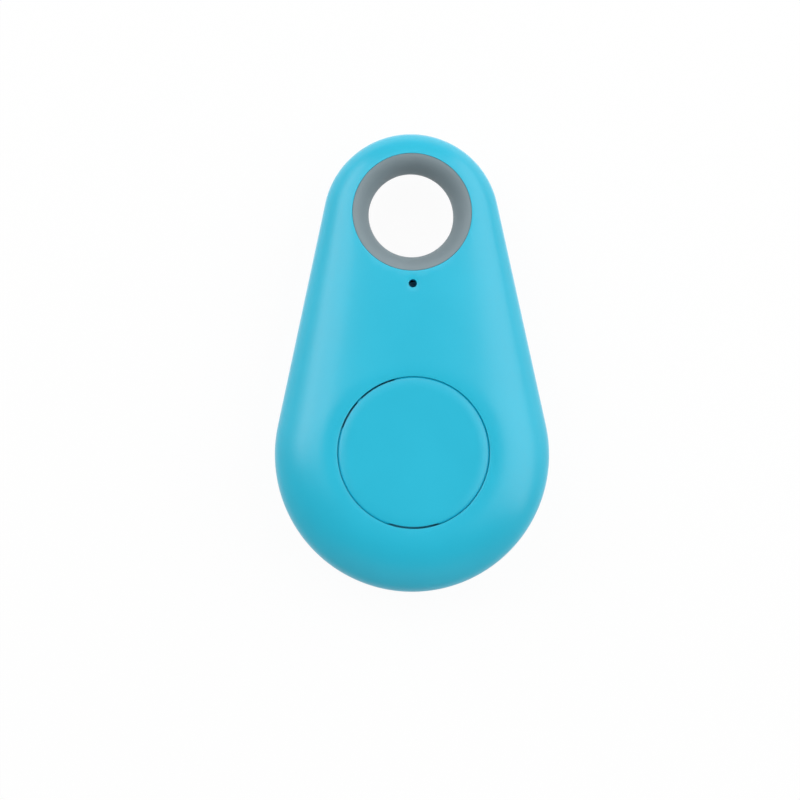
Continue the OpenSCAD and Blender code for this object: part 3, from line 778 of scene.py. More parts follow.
# %% Ring of the key hole
RING_TURNS = 160
RING_SHARP = 50
bm = bmesh.new()
rows = []
for i in range(RING_TURNS):
    angle = 2 * math.pi * i / RING_TURNS
    upper = ring_section(angle)
    section = upper + [(r, -z) for r, z in reversed(upper)]
    rows.append(row_of(bm, [(r * math.cos(angle), HOLE_Y + r * math.sin(angle), SEAM_Z + z)
                            for r, z in section]))
for one, other in zip(rows, rows[1:] + rows[:1]):
    bridge(bm, one, other)
make_piece(bm, "keyhole_ring", abs_grey, "rear_case", ["keyhole_liner"], sharp=RING_SHARP)

# %% [markdown]
# ## Push button
# The button is one moulding: a disc whose face rolls off slightly to its rim, a flange below that keeps it
# in the case, a hollow underside with two crossed ribs, and a stem that meets the switch. The narrow gap
# round it draws the circle on the face. In the photograph most of that line is a clear teal, so light
# reaches its floor: a sloping lip on the button closes the gap just below the face. The first cell draws
# the rim from the face down over the lip.

# %% Rim of the button
BUTTON_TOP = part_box("button_cap")[1].z / MM
ROLL_W = 1.2
ROLL_LEAN = 11
ROLL_STEPS = 8
RIM_EDGE = 0.1
RIM_STEPS = 6
LIP_W = 0.15
LIP_LEAN = 30
LIP_T = 0.15
roll_r = ROLL_W / math.sin(math.radians(ROLL_LEAN))
edge_x = BUTTON_R - RIM_EDGE * math.sin(math.radians(LIP_LEAN))
start_x = edge_x + (RIM_EDGE - roll_r) * math.sin(math.radians(ROLL_LEAN))
rim = arc((start_x, BUTTON_TOP - roll_r), roll_r, 90, 90 - ROLL_LEAN, ROLL_STEPS)
edge_z = rim[-1][1] - RIM_EDGE * math.cos(math.radians(ROLL_LEAN))
rim += arc((edge_x, edge_z), RIM_EDGE, 90 - ROLL_LEAN, 90 - LIP_LEAN, RIM_STEPS)[1:]
lip_z = rim[-1][1] - LIP_W * math.tan(math.radians(LIP_LEAN))
lip_low = lip_z - LIP_T - LIP_W
rim += [(BUTTON_R + LIP_W, lip_z), (BUTTON_R + LIP_W, lip_z - LIP_T), (BUTTON_R, lip_low)]
print("lip lies %.2f mm below the face" % (BUTTON_TOP - lip_z))

# %% [markdown]
# ### Body of the button
# The rest of the profile goes round the flange and up into the hollow, and a lathe turns it. On three
# stretches the line in the photograph is dark. There the lip is broken, and the gap goes down to the flange.
# A lathe can't do that, so the lip's points are pulled in afterwards. The button has some play in its hole
# and lies a hair off its middle.

# %% Push button
BUTTON_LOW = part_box("button_cap")[0].z / MM
BUTTON_T = 1.3
SKIRT_T = 1.2
FLANGE_R = BUTTON_R + FLANGE_W
FLANGE_Z = 8.95
FLANGE_TOP = FLANGE_Z + 0.55
FLANGE_EDGE = 0.08
STEM_R = 1.5
STEM_EDGE = 0.1
BUTTON_SEGMENTS = 160
LIP_BREAKS = ((104, 134), (138, 162), (250, 290))
REST = Vector((0.01, BODY_Y + 0.02))
under = BUTTON_TOP - BUTTON_T
skirt_r = BUTTON_R - SKIRT_T
flange = [(BUTTON_R, FLANGE_TOP), (FLANGE_R - FLANGE_EDGE, FLANGE_TOP), (FLANGE_R, FLANGE_TOP - FLANGE_EDGE),
          (FLANGE_R, FLANGE_Z + FLANGE_EDGE), (FLANGE_R - FLANGE_EDGE, FLANGE_Z), (skirt_r, FLANGE_Z)]
hollow = [(skirt_r, under), (STEM_R, under), (STEM_R, BUTTON_LOW + STEM_EDGE),
          (STEM_R - STEM_EDGE, BUTTON_LOW), (0, BUTTON_LOW)]
bm = bmesh.new()
lathe(bm, [(0, BUTTON_TOP), (BUTTON_R / 2, BUTTON_TOP), *rim, *flange, *hollow], *REST, BUTTON_SEGMENTS)
for v in bm.verts:
    out = v.co.xy - REST
    turn = math.degrees(math.atan2(out.y, out.x)) % 360
    on_lip = out.length > BUTTON_R + LIP_W / 2 and v.co.z > lip_low
    if on_lip and any(start < turn < end for start, end in LIP_BREAKS):
        v.co.xy = REST + out.normalized() * BUTTON_R
print("lip broken for", sum(end - start for start, end in LIP_BREAKS), "of 360 degrees")

# %% Ribs under the button
RIB_T = 0.8
RIB_UP = 0.05
RIB_IN = 0.3
RIB_EDGE = 0.03
reach = BUTTON_R - SKIRT_T / 2
for size in ((reach, RIB_T / 2), (RIB_T / 2, reach)):
    low = REST - Vector(size)
    high = REST + Vector(size)
    block(bm, (*low, FLANGE_Z + RIB_UP), (*high, under + RIB_IN), RIB_EDGE)
make_piece(bm, "push_button", abs_cyan, "button", ["button_cap"])

# %% [markdown]
# ## Circuit board
# The board is FR4, glass cloth in epoxy, under a green solder mask. From above the mask is glossy, and the
# cloth shows through it as a faint weave. On the sawn edge the yellowish layers of cloth show. One material
# does both: the direction of the surface picks mask or edge, so the solid from the CAD model needs no
# second piece. The threads of such cloth lie about 0.45 mm apart, and its layers are 0.2 mm thick.

# %% Board material
WEAVE_MM = 0.45
LAYER_MM = 0.2
WEAVE_DEPTH_MM = 0.004
# Length after which a wave texture of scale 1 repeats.
WAVE_LENGTH = math.pi / 10
MASK_ROUGHNESS = 0.28
EDGE_ROUGHNESS = 0.75


def faces_up(owner):
    """1 on faces that look up or down, 0 on the sides."""
    way = add(owner, "SeparateXYZ", {0: add(owner, "TexCoord").outputs["Normal"]})
    flat = add(owner, "Math", {0: way.outputs["Z"]}, operation="ABSOLUTE")
    return add(owner, "Math", {0: flat.outputs[0], 1: 0.5}, operation="GREATER_THAN").outputs[0]


# Solder mask on glass cloth: a clear, glossy green with a hint of weave, and dull straw-coloured edges.
fr4 = new_material("solder_masked_fr4")
place = add(fr4, "TexCoord").outputs["Object"]
stripes = {}
for way, pitch_mm in (("X", WEAVE_MM), ("Y", WEAVE_MM), ("Z", LAYER_MM)):
    stripes[way] = add(fr4, "TexWave", {
        "Vector": place, "Scale": WAVE_LENGTH / (pitch_mm * MM), "Distortion": 0.6, "Detail": 1.0},
        wave_type="BANDS", bands_direction=way).outputs["Fac"]
weave = add(fr4, "Math", {0: stripes["X"], 1: stripes["Y"]}, operation="MULTIPLY").outputs[0]
mask = add(fr4, "Mix", {0: weave, 6: linear("#17573a"), 7: linear("#1b6041")}, data_type="RGBA")
edge = add(fr4, "Mix", {0: stripes["Z"], 6: linear("#a8955f"), 7: linear("#c2b27c")}, data_type="RGBA")
top = faces_up(fr4)
hue = add(fr4, "Mix", {0: top, 6: edge.outputs[2], 7: mask.outputs[2]}, data_type="RGBA")
gloss = add(fr4, "MapRange", {"Value": top, "To Min": EDGE_ROUGHNESS, "To Max": MASK_ROUGHNESS})
bump = add(fr4, "Bump", {"Height": weave, "Strength": 0.5, "Distance": WEAVE_DEPTH_MM * MM})
skin = add(fr4, "BsdfPrincipled", {"Base Color": hue.outputs[2], "IOR": 1.55, "Roughness": gloss.outputs[0],
                                   "Normal": bump.outputs[0]})
add(fr4, "OutputMaterial", {"Surface": skin.outputs[0]})

# %% [markdown]
# ## Metals
# Sheet metal is rolled, so it has fine streaks one way. Drawn and turned pieces, such as the can of the
# cell, have them round their axis. An anisotropic shader would stretch the highlights, but it shows no
# single streak. So both are one recipe: noise that is stretched along the streaks moves colour, gloss and
# bump. Only the direction differs. Plated pads and solder have no streaks, so they get an even grain. Real
# streaks are a few hundredths of a millimetre wide. They are drawn at 0.06 mm and more, as finer ones don't
# show.

# %% Recipe of the metals
STREAK_SHIFT = 0.06
STREAK_DEPTH_MM = 0.004
ALONG_X = (0.03, 1.0, 1.0)
EVEN = (1.0, 1.0, 1.0)


def metal(name, colour, tint, roughness, streak_mm, stretch=ALONG_X, turned_y=None):
    material = new_material(name)
    place = add(material, "TexCoord").outputs["Object"]
    if turned_y is None:
        across = add(material, "Mapping", {"Vector": place, "Scale": stretch})
    else:
        spoke = add(material, "Mapping", {
            "Vector": place, "Location": (0, -turned_y * MM, 0), "Scale": (1, 1, 0)})
        reach = add(material, "VectorMath", {0: spoke.outputs[0]}, operation="LENGTH")
        across = add(material, "CombineXYZ", {"X": reach.outputs["Value"]})
    streaks = add(material, "TexNoise", {
        "Vector": across.outputs[0], "Scale": 1 / (streak_mm * MM), "Detail": 3.0}).outputs["Fac"]
    hue = add(material, "Mix", {0: streaks, 6: linear(colour), 7: linear(tint)}, data_type="RGBA")
    gloss = add(material, "MapRange", {
        "Value": streaks, "From Min": NOISE_LOW, "From Max": NOISE_HIGH,
        "To Min": roughness - STREAK_SHIFT, "To Max": roughness + STREAK_SHIFT})
    bump = add(material, "Bump", {"Height": streaks, "Strength": 0.4, "Distance": STREAK_DEPTH_MM * MM})
    skin = add(material, "BsdfPrincipled", {
        "Base Color": hue.outputs[2], "Metallic": 1.0, "Roughness": gloss.outputs[0],
        "Normal": bump.outputs[0]})
    add(material, "OutputMaterial", {"Surface": skin.outputs[0]})
    return material


print("streaks shift the gloss by", STREAK_SHIFT)

# %% [markdown]
# ### Metals of the tag
# The colour of a metal is that of its reflection, so each pair of hex values is a light tone, and the
# roughness does the rest.

# %% Metals of the tag
# Nickel on drawn steel: a warm silver with rings of fine lines, which turn the light into a fan.
drawn_nickel = metal("drawn_nickel_plated_steel", "#b9b6ae", "#cbc8c1", 0.35, streak_mm=0.12, turned_y=BODY_Y)
# Nickel on rolled strip: the same silver, with straight lines that draw the light out sideways.
rolled_nickel = metal("rolled_nickel_plated_steel", "#bcbab3", "#cdcbc5", 0.35, streak_mm=0.06)
# Stainless strip: a colder and slightly darker silver.
spring_steel = metal("rolled_stainless_steel", "#b4b5b6", "#c6c7c8", 0.34, streak_mm=0.06)
# Matt tin: a pale, soft grey that shines the same from all sides.
tin = metal("matt_plated_tin", "#c3c5c7", "#d3d5d6", 0.42, streak_mm=0.15, stretch=EVEN)
# Thin gold on copper: a pale yellow with a clear shine.
gold = metal("gold_plated_copper", "#d9b25f", "#e6c475", 0.35, streak_mm=0.2, stretch=EVEN)
# Phosphor bronze strip: reddish yellow, with the lines of the rolls.
bronze = metal("rolled_phosphor_bronze", "#bf9560", "#cfa570", 0.35, streak_mm=0.06)
# Brass sheet: a greener yellow than bronze, with the same lines.
yellow_brass = metal("rolled_brass", "#c8a555", "#d6b566", 0.35, streak_mm=0.08)
# Solder that has run: nearly a mirror, clouded a little where it froze.
solder = metal("reflowed_solder", "#b9bcbe", "#cbcdcf", 0.2, streak_mm=0.4, stretch=EVEN)
# Rolled lithium: a dull blue grey under its skin of oxide.
lithium = metal("rolled_lithium", "#a9adb0", "#bcc0c3", 0.45, streak_mm=0.2)
METAL_WORDS = ("steel", "tin", "copper", "brass", "bronze", "solder", "lithium")
print("metals:", [m.name for m in bpy.data.materials if m.name.endswith(METAL_WORDS)])

# %% [markdown]
# ## Ceramics, paper and ink
# Fired ceramic and pressed powder are dull and even, with a fine grain, so the recipe of the moulded
# plastics fits them with a rougher finish. Paper, tape and printed ink are much the same to the eye.

# %% Ceramics, paper and ink
# Fired titanate: tan and dull, like unglazed stoneware.
titanate = moulded("fired_titanate_tan", "#a88562", "#b4906c", roughness=0.6, ior=1.9,
                   grain_mm=0.12, depth_mm=0.004, flow_mm=1.0)
# Fired alumina: a chalky beige.
alumina_tub = moulded("fired_alumina_beige", "#cfc9b8", "#d8d3c4", roughness=0.55, ior=1.76,
                      grain_mm=0.12, depth_mm=0.004, flow_mm=1.0)
# White PPA: bright and a little warm, so that it throws the light back.
white_ppa = moulded("moulded_ppa_white", "#dedcd2", "#e6e4db", roughness=0.5, ior=1.58,
                    grain_mm=0.12, depth_mm=0.003, flow_mm=1.0)
# Silver paste, printed and fired: a pale matt grey, more like paint than like metal.
silvered = moulded("screen_printed_silver_on_ceramic", "#c9c8c2", "#d4d3ce", roughness=0.5, ior=1.9,
                   grain_mm=0.15, depth_mm=0.006, flow_mm=3.0)
# Pressed oxide powder: sooty, with no shine.
pellet_black = moulded("pressed_oxide_powder", "#2b2b2d", "#353537", roughness=0.85, ior=1.6,
                       grain_mm=0.15, depth_mm=0.01, flow_mm=2.0)
# Porous polymer: white and flat, like filter paper.
porous_sheet = moulded("porous_polymer_sheet", "#e8e5dc", "#efede6", roughness=0.8, ior=1.5,
                       grain_mm=0.1, depth_mm=0.006, flow_mm=1.5)
# Tissue soaked in glue: cream, with a coarse, fibrous grain.
tissue_tape = moulded("coated_tissue_tape", "#ddd6c0", "#e5dfcc", roughness=0.8, ior=1.5,
                      grain_mm=0.3, depth_mm=0.01, flow_mm=2.0)
# Printed epoxy ink: an opaque, slightly greenish white.
ink_white = moulded("printed_epoxy_ink_white", "#dfe3de", "#e8ebe7", roughness=0.6, ior=1.5,
                    grain_mm=0.1, depth_mm=0.002, flow_mm=1.0)
# Mask over copper: a lighter green than the board, because the metal shines through.
mask_green = moulded("solder_mask_over_copper", "#2a7a52", "#2f8259", roughness=0.30, ior=1.55,
                     grain_mm=0.15, depth_mm=0.002, flow_mm=2.0)
print("materials so far:", len(bpy.data.materials))

# %% [markdown]
# ### Glaze and lens
# The chip resistors are white alumina with black glass on top, which the direction of the surface picks, as
# on the board. The lens of the status light is milky blue epoxy, which the deep pinhole leaves dark.

# %% Glaze and lens
SPECK_MM = 0.15
HAZE_MM = 0.3
# Black glass over alumina: a dark, smooth top with faint specks, and chalky white sides.
glass_black = new_material("black_glass_on_alumina")
place = add(glass_black, "TexCoord").outputs["Object"]
speck = add(glass_black, "TexNoise", {"Vector": place, "Scale": 1 / (SPECK_MM * MM), "Detail": 2.0})
glaze, alumina = (
    add(glass_black, "Mix", {0: speck.outputs["Fac"], 6: linear(one), 7: linear(other)}, data_type="RGBA")
    for one, other in (("#19191b", "#29292b"), ("#d9d7cf", "#e6e4dd")))
hue = add(glass_black, "Mix", {0: faces_up(glass_black), 6: alumina.outputs[2], 7: glaze.outputs[2]},
          data_type="RGBA")
skin = add(glass_black, "BsdfPrincipled", {"Base Color": hue.outputs[2], "Roughness": 0.35, "IOR": 1.52})
add(glass_black, "OutputMaterial", {"Surface": skin.outputs[0]})

# Cast epoxy with a diffuser in it: milky and bright, with clouds in its gloss.
milky_epoxy = new_material("cast_epoxy_milky_blue")
place = add(milky_epoxy, "TexCoord").outputs["Object"]
haze = add(milky_epoxy, "TexNoise", {"Vector": place, "Scale": 1 / (HAZE_MM * MM), "Detail": 2.0})
cloud = add(milky_epoxy, "MapRange", {"Value": haze.outputs["Fac"], "To Min": 0.3, "To Max": 0.5})
skin = add(milky_epoxy, "BsdfPrincipled", {"Base Color": linear("#39b9e0"), "Roughness": cloud.outputs[0],
                                           "IOR": 1.54, "Transmission Weight": 0.1})
add(milky_epoxy, "OutputMaterial", {"Surface": skin.outputs[0]})
print("materials in all:", len(bpy.data.materials))

# %% [markdown]
# ## Finish of the solids
# The inner parts keep the solids of the CAD model, which have the right shape already. Each gets its
# material, and the boxy ones a bevel modifier: an edge without one never catches the light. The bevel is a
# modifier because the CAD meshes themselves stay as they are. The list gives the material and the bevel's
# width.

# %% Finish of the solids
WELD_MM = 0.001
BEVEL_SEGMENTS = 2
FINISH = {
    "circuit_board": (fr4, 0), "antenna_trace": (gold, 0), "radio_chip": (epoxy_black, 0.04),
    "crystal": (alumina_tub, 0.03), "led_base": (white_ppa, 0.02), "led_lens": (milky_epoxy, 0.05),
    "chip_capacitors": (titanate, 0.04), "chip_resistors": (glass_black, 0.02),
    "switch_base": (lcp_black, 0.05), "switch_terminals": (tin, 0.03),
    "switch_plunger": (nylon_grey, 0.06), "switch_cover": (spring_steel, 0.03),
    "battery_can": (drawn_nickel, 0), "battery_gasket": (nylon_grey, 0), "battery_cap": (drawn_nickel, 0),
    "battery_cathode": (pellet_black, 0), "battery_separator": (porous_sheet, 0),
    "battery_anode": (lithium, 0), "battery_clip": (rolled_nickel, 0.03), "battery_contact": (bronze, 0.02),
    "buzzer_tape": (tissue_tape, 0), "buzzer_plate": (yellow_brass, 0), "buzzer_ceramic": (silvered, 0),
    "buzzer_lead_red": (pvc_red, 0), "buzzer_lead_black": (pvc_black, 0), "solder_joints": (solder, 0)}

for node, (material, bevel) in FINISH.items():
    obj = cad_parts[node]
    for slot in obj.material_slots:
        slot.material = material
    if bevel:
        weld = obj.modifiers.new("one_skin", "WELD")
        weld.merge_threshold = WELD_MM * MM
        soft = obj.modifiers.new("soft_edges", "BEVEL")
        soft.width = bevel * MM
        soft.segments = BEVEL_SEGMENTS
        soft.limit_method = "ANGLE"
        soft.angle_limit = math.radians(SHARP_DEGREES)
print("finished solids:", len(FINISH), "of", len(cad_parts))

# %% [markdown]
# ## Places on the board
# Tracks, pads and solder have to meet the chips, so their places are worked out as in the CAD model: from
# the boxes of the larger parts, and from the grid on which the small parts stand.

# %% Places on the board
CELL_EDGE = BODY_Y + CELL_R
PART_X = 0.3
PART_STEP = 1.2
PAIR_STEP = 0.8
chip_low, chip_high = (Vector(c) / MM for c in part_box("radio_chip"))
crystal_low, crystal_high = (Vector(c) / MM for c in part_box("crystal"))
switch_high = Vector(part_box("switch_terminals")[1]) / MM
chip_mid = (chip_low + chip_high) / 2
crystal_mid = (crystal_low + crystal_high) / 2
COLUMN = [(PART_X, CELL_EDGE + i * PART_STEP) for i in range(1, 5)]
CAPACITORS = COLUMN + [(chip_mid.x + side * PAIR_STEP, CELL_EDGE) for side in (-1, 1)]
PAIR_RISES = (0.4, 6.2)
RESISTORS = [(crystal_mid.x + side * PAIR_STEP, CELL_EDGE + rise) for side in (-1, 1) for rise in PAIR_RISES]
TEST_PADS = [(-7.2, -2.6), (-7.2, -4.4), (-7.2, -6.2)]
# Middle of the upper right leg of the switch; the others mirror it.
LEG_X = switch_high.x - 0.3
LEG_Y = switch_high.y - 0.35
LOWER_LEG_Y = 2 * BODY_Y - LEG_Y
print("capacitors:", len(CAPACITORS), "resistors:", len(RESISTORS), "test pads:", len(TEST_PADS))

# %% [markdown]
# ## Tracks
# Copper tracks run under the mask and stand a little proud of it, and a via, a plated hole between the
# layers, shows as a small ring. A picture of the layout would show no edge in the light, so each track is a
# flat ribbon along a few points, mitred at its corners. The routes are drawn as on a layout: from pad to pad
# or to a via, with corners of 45 degrees where there is room.

# %% Ribbons
def ribbon(bm, points, width, low, high):
    points = [Vector(p) for p in points]
    ways = [(b - a).normalized() for a, b in zip(points, points[1:])]
    rows = []
    for p, before, after in zip(points, ways[:1] + ways, ways + ways[-1:]):
        way = (before + after).normalized()
        side = Vector((-way.y, way.x)) * width / 2 / way.dot(after)
        corners = [(p + side, low), (p - side, low), (p - side, high), (p + side, high)]
        rows.append(row_of(bm, [(c.x, c.y, z) for c, z in corners]))
    for one, other in zip(rows, rows[1:]):
        bridge(bm, one, other)
    bm.faces.new(rows[0])
    bm.faces.new(rows[-1])


print("parts in the column at", [round(y, 2) for _, y in COLUMN])

# %% Routes
LAND_STEP = 0.8
tracks = []
for i, (_, y) in enumerate(COLUMN):
    land_y = chip_mid.y + (i - 1.5) * LAND_STEP
    tracks.append([(chip_high.x, land_y), (-0.95, land_y), (-0.55, y), (-0.1, y)])
# From the column to the crystal, and to two vias.
tracks += [
    [(0.7, 1.9), (1.3, 1.9), (1.55, 2.15), (2.1, 2.15)],
    [(0.7, 3.1), (2.1, 3.1)],
    [(0.7, 0.7), (1.35, 0.7)],
    [(0.7, 4.3), (1.35, 4.3)]]
# From the status light through the resistors round the crystal, and on under the switch.
tracks += [
    [(0.75, PINHOLE_Y), (1.6, PINHOLE_Y), (2.2, PINHOLE_Y - 0.6), (2.2, 5.7)],
    [(3.0, 5.7), (3.8, 5.7)],
    [(4.6, 5.7), (5.5, 5.7), (6.0, 5.2), (6.0, 1.0), (4.9, -0.1), (4.6, -0.1)],
    [(3.8, -0.1), (3.0, -0.1)],
    [(2.2, -0.1), (1.2, -1.1), (1.2, -3.4)],
    [(-2.1, CELL_EDGE), (-1.4, -1.2), (-1.4, -4.6)]]
# From three legs of the switch.
tracks += [
    [(-LEG_X, LEG_Y), (-LEG_X - 1.7, LEG_Y + 1.7), (-LEG_X - 1.7, -1.3), (-4.5, CELL_EDGE)],
    [(LEG_X, LEG_Y), (LEG_X + 1.5, LEG_Y + 1.5), (LEG_X + 1.5, -1.0), (4.6, -0.1)],
    [(-LEG_X, LOWER_LEG_Y), (-LEG_X - 2.5, LOWER_LEG_Y), (-LEG_X - 3.5, LOWER_LEG_Y + 1.0),
     (-LEG_X - 3.5, -8.6)]]
# From the chip up to the status light and the aerial.
tracks += [
    [(-0.75, PINHOLE_Y), (-1.15, PINHOLE_Y - 0.4), (-1.15, 5.6), (-2.05, 4.7), (-2.05, chip_high.y)],
    [(-1.9, 6.2), (-2.7, 5.4), (-2.7, chip_high.y)]]
# From the chip round to two test pads, each in a lane of its own, and from the third to a via.
for i, (x, y) in enumerate(reversed(TEST_PADS[:2])):
    lane = -0.35 * i
    rise = 0.6 * i
    tracks.append([(chip_low.x, 1.2 + rise), (lane - 5.7, 1.2 + rise), (lane - 5.9, 1.0 + rise),
                   (lane - 5.9, y + 0.4), (lane - 6.3, y), (x, y)])
tracks.append([TEST_PADS[2], (-5.8, TEST_PADS[2][1])])
print("tracks:", len(tracks))

# %% [markdown]
# ### Vias
# Some tracks end in a via that takes them to the back. A row of vias along the round edge stitches the
# ground layers together, with room left for the posts.

# %% Tracks and vias
COPPER = 0.035
TRACK_W = 0.25
VIA_HOLE_R = 0.12
VIA_R = 0.3
VIA_SEGMENTS = 20
STITCH_R = 12.4
STITCHES = 16
STITCH_TURN = 12
POST_CLEAR = 2.2
track_low = BOARD_TOP - COPPER
track_top = BOARD_TOP + COPPER / 2
vias = [(-5.8, TEST_PADS[2][1]), (1.35, 0.7), (1.35, 4.3), (1.2, -3.4), (-1.4, -4.6), (-LEG_X - 3.5, -8.6)]
for i in range(STITCHES):
    a = math.radians(180 + STITCH_TURN * i)
    spot = (STITCH_R * math.cos(a), BODY_Y + STITCH_R * math.sin(a))
    if min(math.dist(spot, post) for post in POSTS) > POST_CLEAR:
        vias.append(spot)

bm = bmesh.new()
for points in tracks:
    ribbon(bm, points, TRACK_W, track_low, track_top)
for x, y in vias:
    lathe(bm, [(VIA_HOLE_R, track_low), (VIA_R, track_low), (VIA_R, track_top), (VIA_HOLE_R, track_top)],
          x, y, VIA_SEGMENTS, closed=True)
make_piece(bm, "board_tracks", mask_green, "rear_case")

# %% [markdown]
# ## Pads, terminals and solder
# Where the mask is left open, the copper is plated with gold. Each chip part has a tin-plated cap at both
# ends, which sits on a gold pad with a fillet of solder against it. The radio chip has rows of flat lands
# along its four sides, and the switch has a leg at each corner. All of them are small blocks with a bevel,
# placed by loops over the lists above, with the fillets as wedges.

# %% Pads and fillets
PAD_EDGE = 0.02
FILLET_TAPER = 0.06
FILLET_HOLLOW = (0.35, 0.3)
pad_low = BOARD_TOP - COPPER
pad_top = BOARD_TOP + COPPER
pads, caps, fillets = bmesh.new(), bmesh.new(), bmesh.new()


def pad(end, y, side, inwards, outwards, width):
    """Gold pad that reaches inwards and outwards from the end of a part; side is -1 left and 1 right."""
    near, far = sorted((end - side * inwards, end + side * outwards))
    block(pads, (near, y - width / 2, pad_low), (far, y + width / 2, pad_top), PAD_EDGE)


def fillet(end, y, side, width, run, high):
    """Wedge of solder that runs out along X from the end of a part, hollow between foot and top."""
    out, up = FILLET_HOLLOW
    corners = [(end, BOARD_TOP), (end + side * run, BOARD_TOP),
               (end + side * run * out, BOARD_TOP + high * up), (end, BOARD_TOP + high)]
    rows = []
    for w in (-1, 1):
        points = [(x, y + w * (width / 2 - FILLET_TAPER * (z > BOARD_TOP)), z) for x, z in corners]
        rows.append(row_of(fillets, points))
    bridge(fillets, *rows)
    for row in rows:
        fillets.faces.new(row)


print("pads stand %.3f mm proud" % (pad_top - BOARD_TOP))

# %% Caps of the chip parts
PART_L = 1.0
PART_W = 0.5
CAPACITOR_H = 0.5
RESISTOR_H = 0.35
CAP_L = 0.24
CAP_LIFT = 0.01
CAP_EDGE = 0.04
PLATING = 0.012
for spots, high in ((CAPACITORS, CAPACITOR_H), (RESISTORS, RESISTOR_H)):
    for x, y in spots:
        for side in (-1, 1):
            end = x + side * PART_L / 2
            inner, outer = sorted((end - side * CAP_L, end + side * PLATING))
            block(caps, (inner, y - PART_W / 2 - PLATING, BOARD_TOP + CAP_LIFT),
                  (outer, y + PART_W / 2 + PLATING, BOARD_TOP + high + PLATING), CAP_EDGE)
            pad(end, y, side, inwards=CAP_L, outwards=0.26, width=0.6)
            fillet(end + side * PLATING, y, side, width=PART_W, run=0.2, high=high * 0.6)
print("caps:", 2 * (len(CAPACITORS) + len(RESISTORS)))

# %% Lands of the radio chip
LANDS = 7
LAND_PITCH = 0.5
LAND_W = 0.26
LAND_UP = 0.22
LAND_IN = 0.2
LAND_PAD = 0.3
LAND_EDGE = 0.01
chip_half = (chip_high.x - chip_low.x) / 2


def land(bm, quarter, along, near, far, low, high, bevel):
    """Block across the edge of the chip, on the side that this many quarter turns give."""
    way = Matrix.Rotation(math.pi / 2 * quarter, 2)
    ends = [(near, along - LAND_W / 2), (far, along + LAND_W / 2)]
    corners = [chip_mid.xy + way @ Vector(end) for end in ends]
    least, most = (Vector(map(pick, *corners)) for pick in (min, max))
    block(bm, (*least, low), (*most, high), bevel)


for i in range(LANDS):
    along = (i - (LANDS - 1) / 2) * LAND_PITCH
    for quarter in range(4):
        land(pads, quarter, along, chip_half - LAND_PAD, chip_half + LAND_PAD, pad_low, pad_top, PAD_EDGE)
        land(caps, quarter, along, chip_half - LAND_IN, chip_half + PLATING,
             BOARD_TOP + CAP_LIFT, BOARD_TOP + LAND_UP, LAND_EDGE)
print("lands:", 4 * LANDS)

# %% Light, switch and test pads
TEST_PAD_R = 0.6
TEST_PAD_EDGE = 0.03
TEST_PAD_SEGMENTS = 40
FILLET_SHARP = 60
led_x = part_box("led_base")[1].x / MM
for side in (-1, 1):
    pad(led_x * side, PINHOLE_Y, side, inwards=0.25, outwards=0.3, width=0.84)
    fillet(led_x * side, PINHOLE_Y, side, width=0.7, run=0.25, high=0.2)
    for up in (-1, 1):
        leg_y = BODY_Y + up * (LEG_Y - BODY_Y)
        pad(side * switch_high.x, leg_y, side, inwards=0.75, outwards=0.25, width=1.0)
        fillet(side * switch_high.x, leg_y, side, width=0.7, run=0.2, high=0.12)
for x, y in TEST_PADS:
    lathe(pads, [(0, pad_low), (TEST_PAD_R, pad_low), (TEST_PAD_R, track_top),
                 (TEST_PAD_R - TEST_PAD_EDGE, pad_top), (0, pad_top)], x, y, TEST_PAD_SEGMENTS)
make_piece(pads, "gold_pads", gold, "rear_case")
make_piece(caps, "tin_terminals", tin, "rear_case")
make_piece(fillets, "solder_fillets", solder, "rear_case", sharp=FILLET_SHARP)

# %% [markdown]
# ## Lid of the crystal
# The crystal is a ceramic tub with a thin nickel lid welded on. The weld runs round the rim of the lid,
# which lies a little lower than its middle, so the lid is two flat blocks, one in the other.

# %% Lid of the crystal
LID_RIM = 0.18
LID_MIDDLE = 2.4 * LID_RIM
LID_STEP = 0.06
lid_top = crystal_high.z + PLATING
# Inset from the tub, depth of the foot, top and bevel of each block.
LID_BLOCKS = ((LID_RIM, 0.12, lid_top - LID_STEP / 2, 0.03), (LID_MIDDLE, 0.1, lid_top, 0.04))
bm = bmesh.new()
for inset, sunk, top, bevel in LID_BLOCKS:
    block(bm, (crystal_low.x + inset, crystal_low.y + inset, crystal_high.z - sunk),
          (crystal_high.x - inset, crystal_high.y - inset, top), bevel)
make_piece(bm, "crystal_lid", rolled_nickel, "rear_case")

# %% [markdown]
# ## Stakes of the switch
# The steel cover of the switch is held by four plastic stakes, melted flat like rivets. A lathe gives each
# its low round head.

# %% Stakes of the switch
STAKE_R = 0.36
STAKE_UP = 0.12
STAKE_IN = 0.55
STAKE_SUNK = 0.05
STAKE_SIDE = 0.03
STAKE_BALL_R = STAKE_R * 1.4
STAKE_SEGMENTS = 28
cover_high = Vector(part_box("switch_cover")[1]) / MM
base_high = Vector(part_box("switch_base")[1]) / MM
top = cover_high.z + STAKE_UP
round_top = arc((0, top - STAKE_BALL_R), STAKE_BALL_R, start=55, end=88, steps=5)
head = [(0, cover_high.z - STAKE_SUNK), (STAKE_R, cover_high.z - STAKE_SUNK),
        (STAKE_R, cover_high.z + STAKE_SIDE), *round_top, (0, top)]
bm = bmesh.new()
for x in (-1, 1):
    for y in (-1, 1):
        lathe(bm, head, x * (base_high.x - STAKE_IN), BODY_Y + y * (base_high.x - STAKE_IN), STAKE_SEGMENTS)
make_piece(bm, "switch_stakes", lcp_black, "rear_case")

# %% [markdown]
# ## Ink on the board
# White ink shows where the parts go: corner marks round the larger ones, a dash beside the small ones and a
# dot at the first land of the chip. The marks are ribbons like the tracks, only thinner.

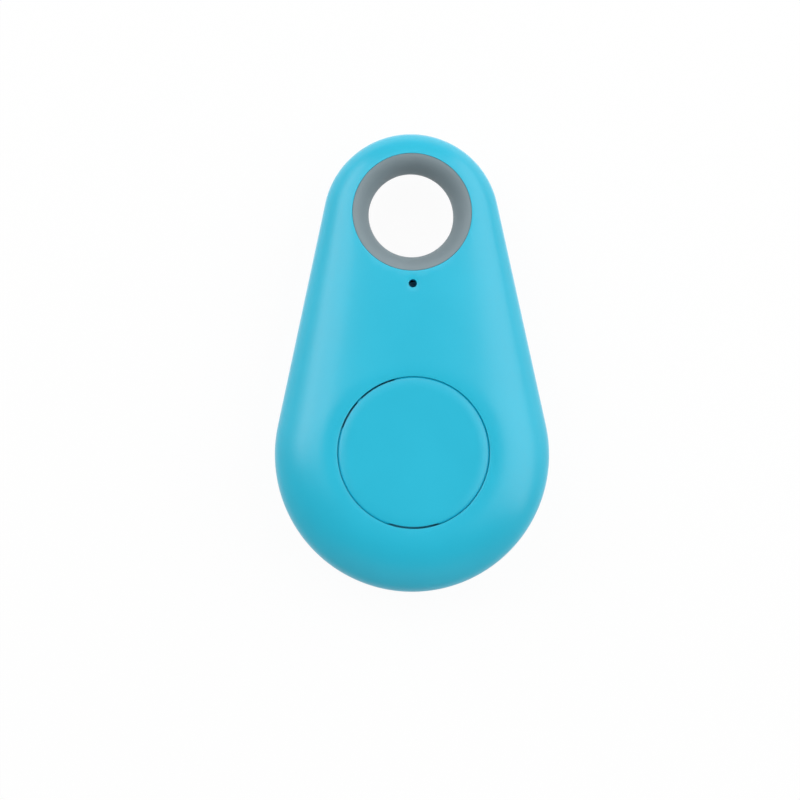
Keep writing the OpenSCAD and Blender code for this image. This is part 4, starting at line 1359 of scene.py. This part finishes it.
# %% Ink on the board
INK_W = 0.13
INK_T = 0.02
DASH_HALF = 0.15
DASH_UP = 0.45
LED_DASH_X = -1.5
LED_DASH_HALF = 0.4
DOT_R = 0.22
DOT_SEGMENTS = 24
ink_low = BOARD_TOP - INK_T
ink_top = BOARD_TOP + INK_T
bm = bmesh.new()


def ink(points):
    ribbon(bm, points, INK_W, ink_low, ink_top)


def ink_corners(low, high, gap, length):
    for x, dx in ((low.x - gap, length), (high.x + gap, -length)):
        for y, dy in ((low.y - gap, length), (high.y + gap, -length)):
            ink([(x + dx, y), (x, y), (x, y + dy)])


ink_corners(chip_low, chip_high, gap=0.5, length=0.6)
ink_corners(crystal_low, crystal_high, gap=0.28, length=0.7)
ink_corners(Vector((-base_high.x, 2 * BODY_Y - base_high.y)), base_high, gap=0.3, length=0.35)
for x, y in COLUMN:
    ink([(x - DASH_HALF, y + DASH_UP), (x + DASH_HALF, y + DASH_UP)])
ink([(LED_DASH_X, PINHOLE_Y - LED_DASH_HALF), (LED_DASH_X, PINHOLE_Y + LED_DASH_HALF)])
lathe(bm, [(0, ink_low), (DOT_R, ink_low), (DOT_R, ink_top), (0, ink_top)],
      chip_low.x - 0.9, chip_high.y + 0.5, DOT_SEGMENTS)
make_piece(bm, "ink_marks", ink_white, "rear_case")

# %% [markdown]
# ## Spring dome of the switch
# Under the plunger lies a thin steel dome that snaps flat with a click.

# %% Spring dome
DOME_T = 0.08
DOME_STEPS = 12
DOME_SEGMENTS = 64
dome_low, dome_high = (Vector(c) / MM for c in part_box("switch_dome"))
dome_r = dome_high.x
dome_h = dome_high.z - dome_low.z
ball = (dome_r ** 2 + dome_h ** 2) / (2 * dome_h)
ball_z = dome_high.z - ball
profile = []
for r, order in ((ball, 1), (ball - DOME_T, -1)):
    widest = math.degrees(math.acos((dome_low.z - ball_z) / r))
    profile += arc((0, ball_z), r, 90, 90 - widest, DOME_STEPS)[::order]
for end in (0, -1):
    profile[end] = (0, profile[end][1])
bm = bmesh.new()
lathe(bm, profile, 0, BODY_Y, DOME_SEGMENTS)
dome = make_piece(bm, "spring_dome", spring_steel, "rear_case", ["switch_dome"])
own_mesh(dome)
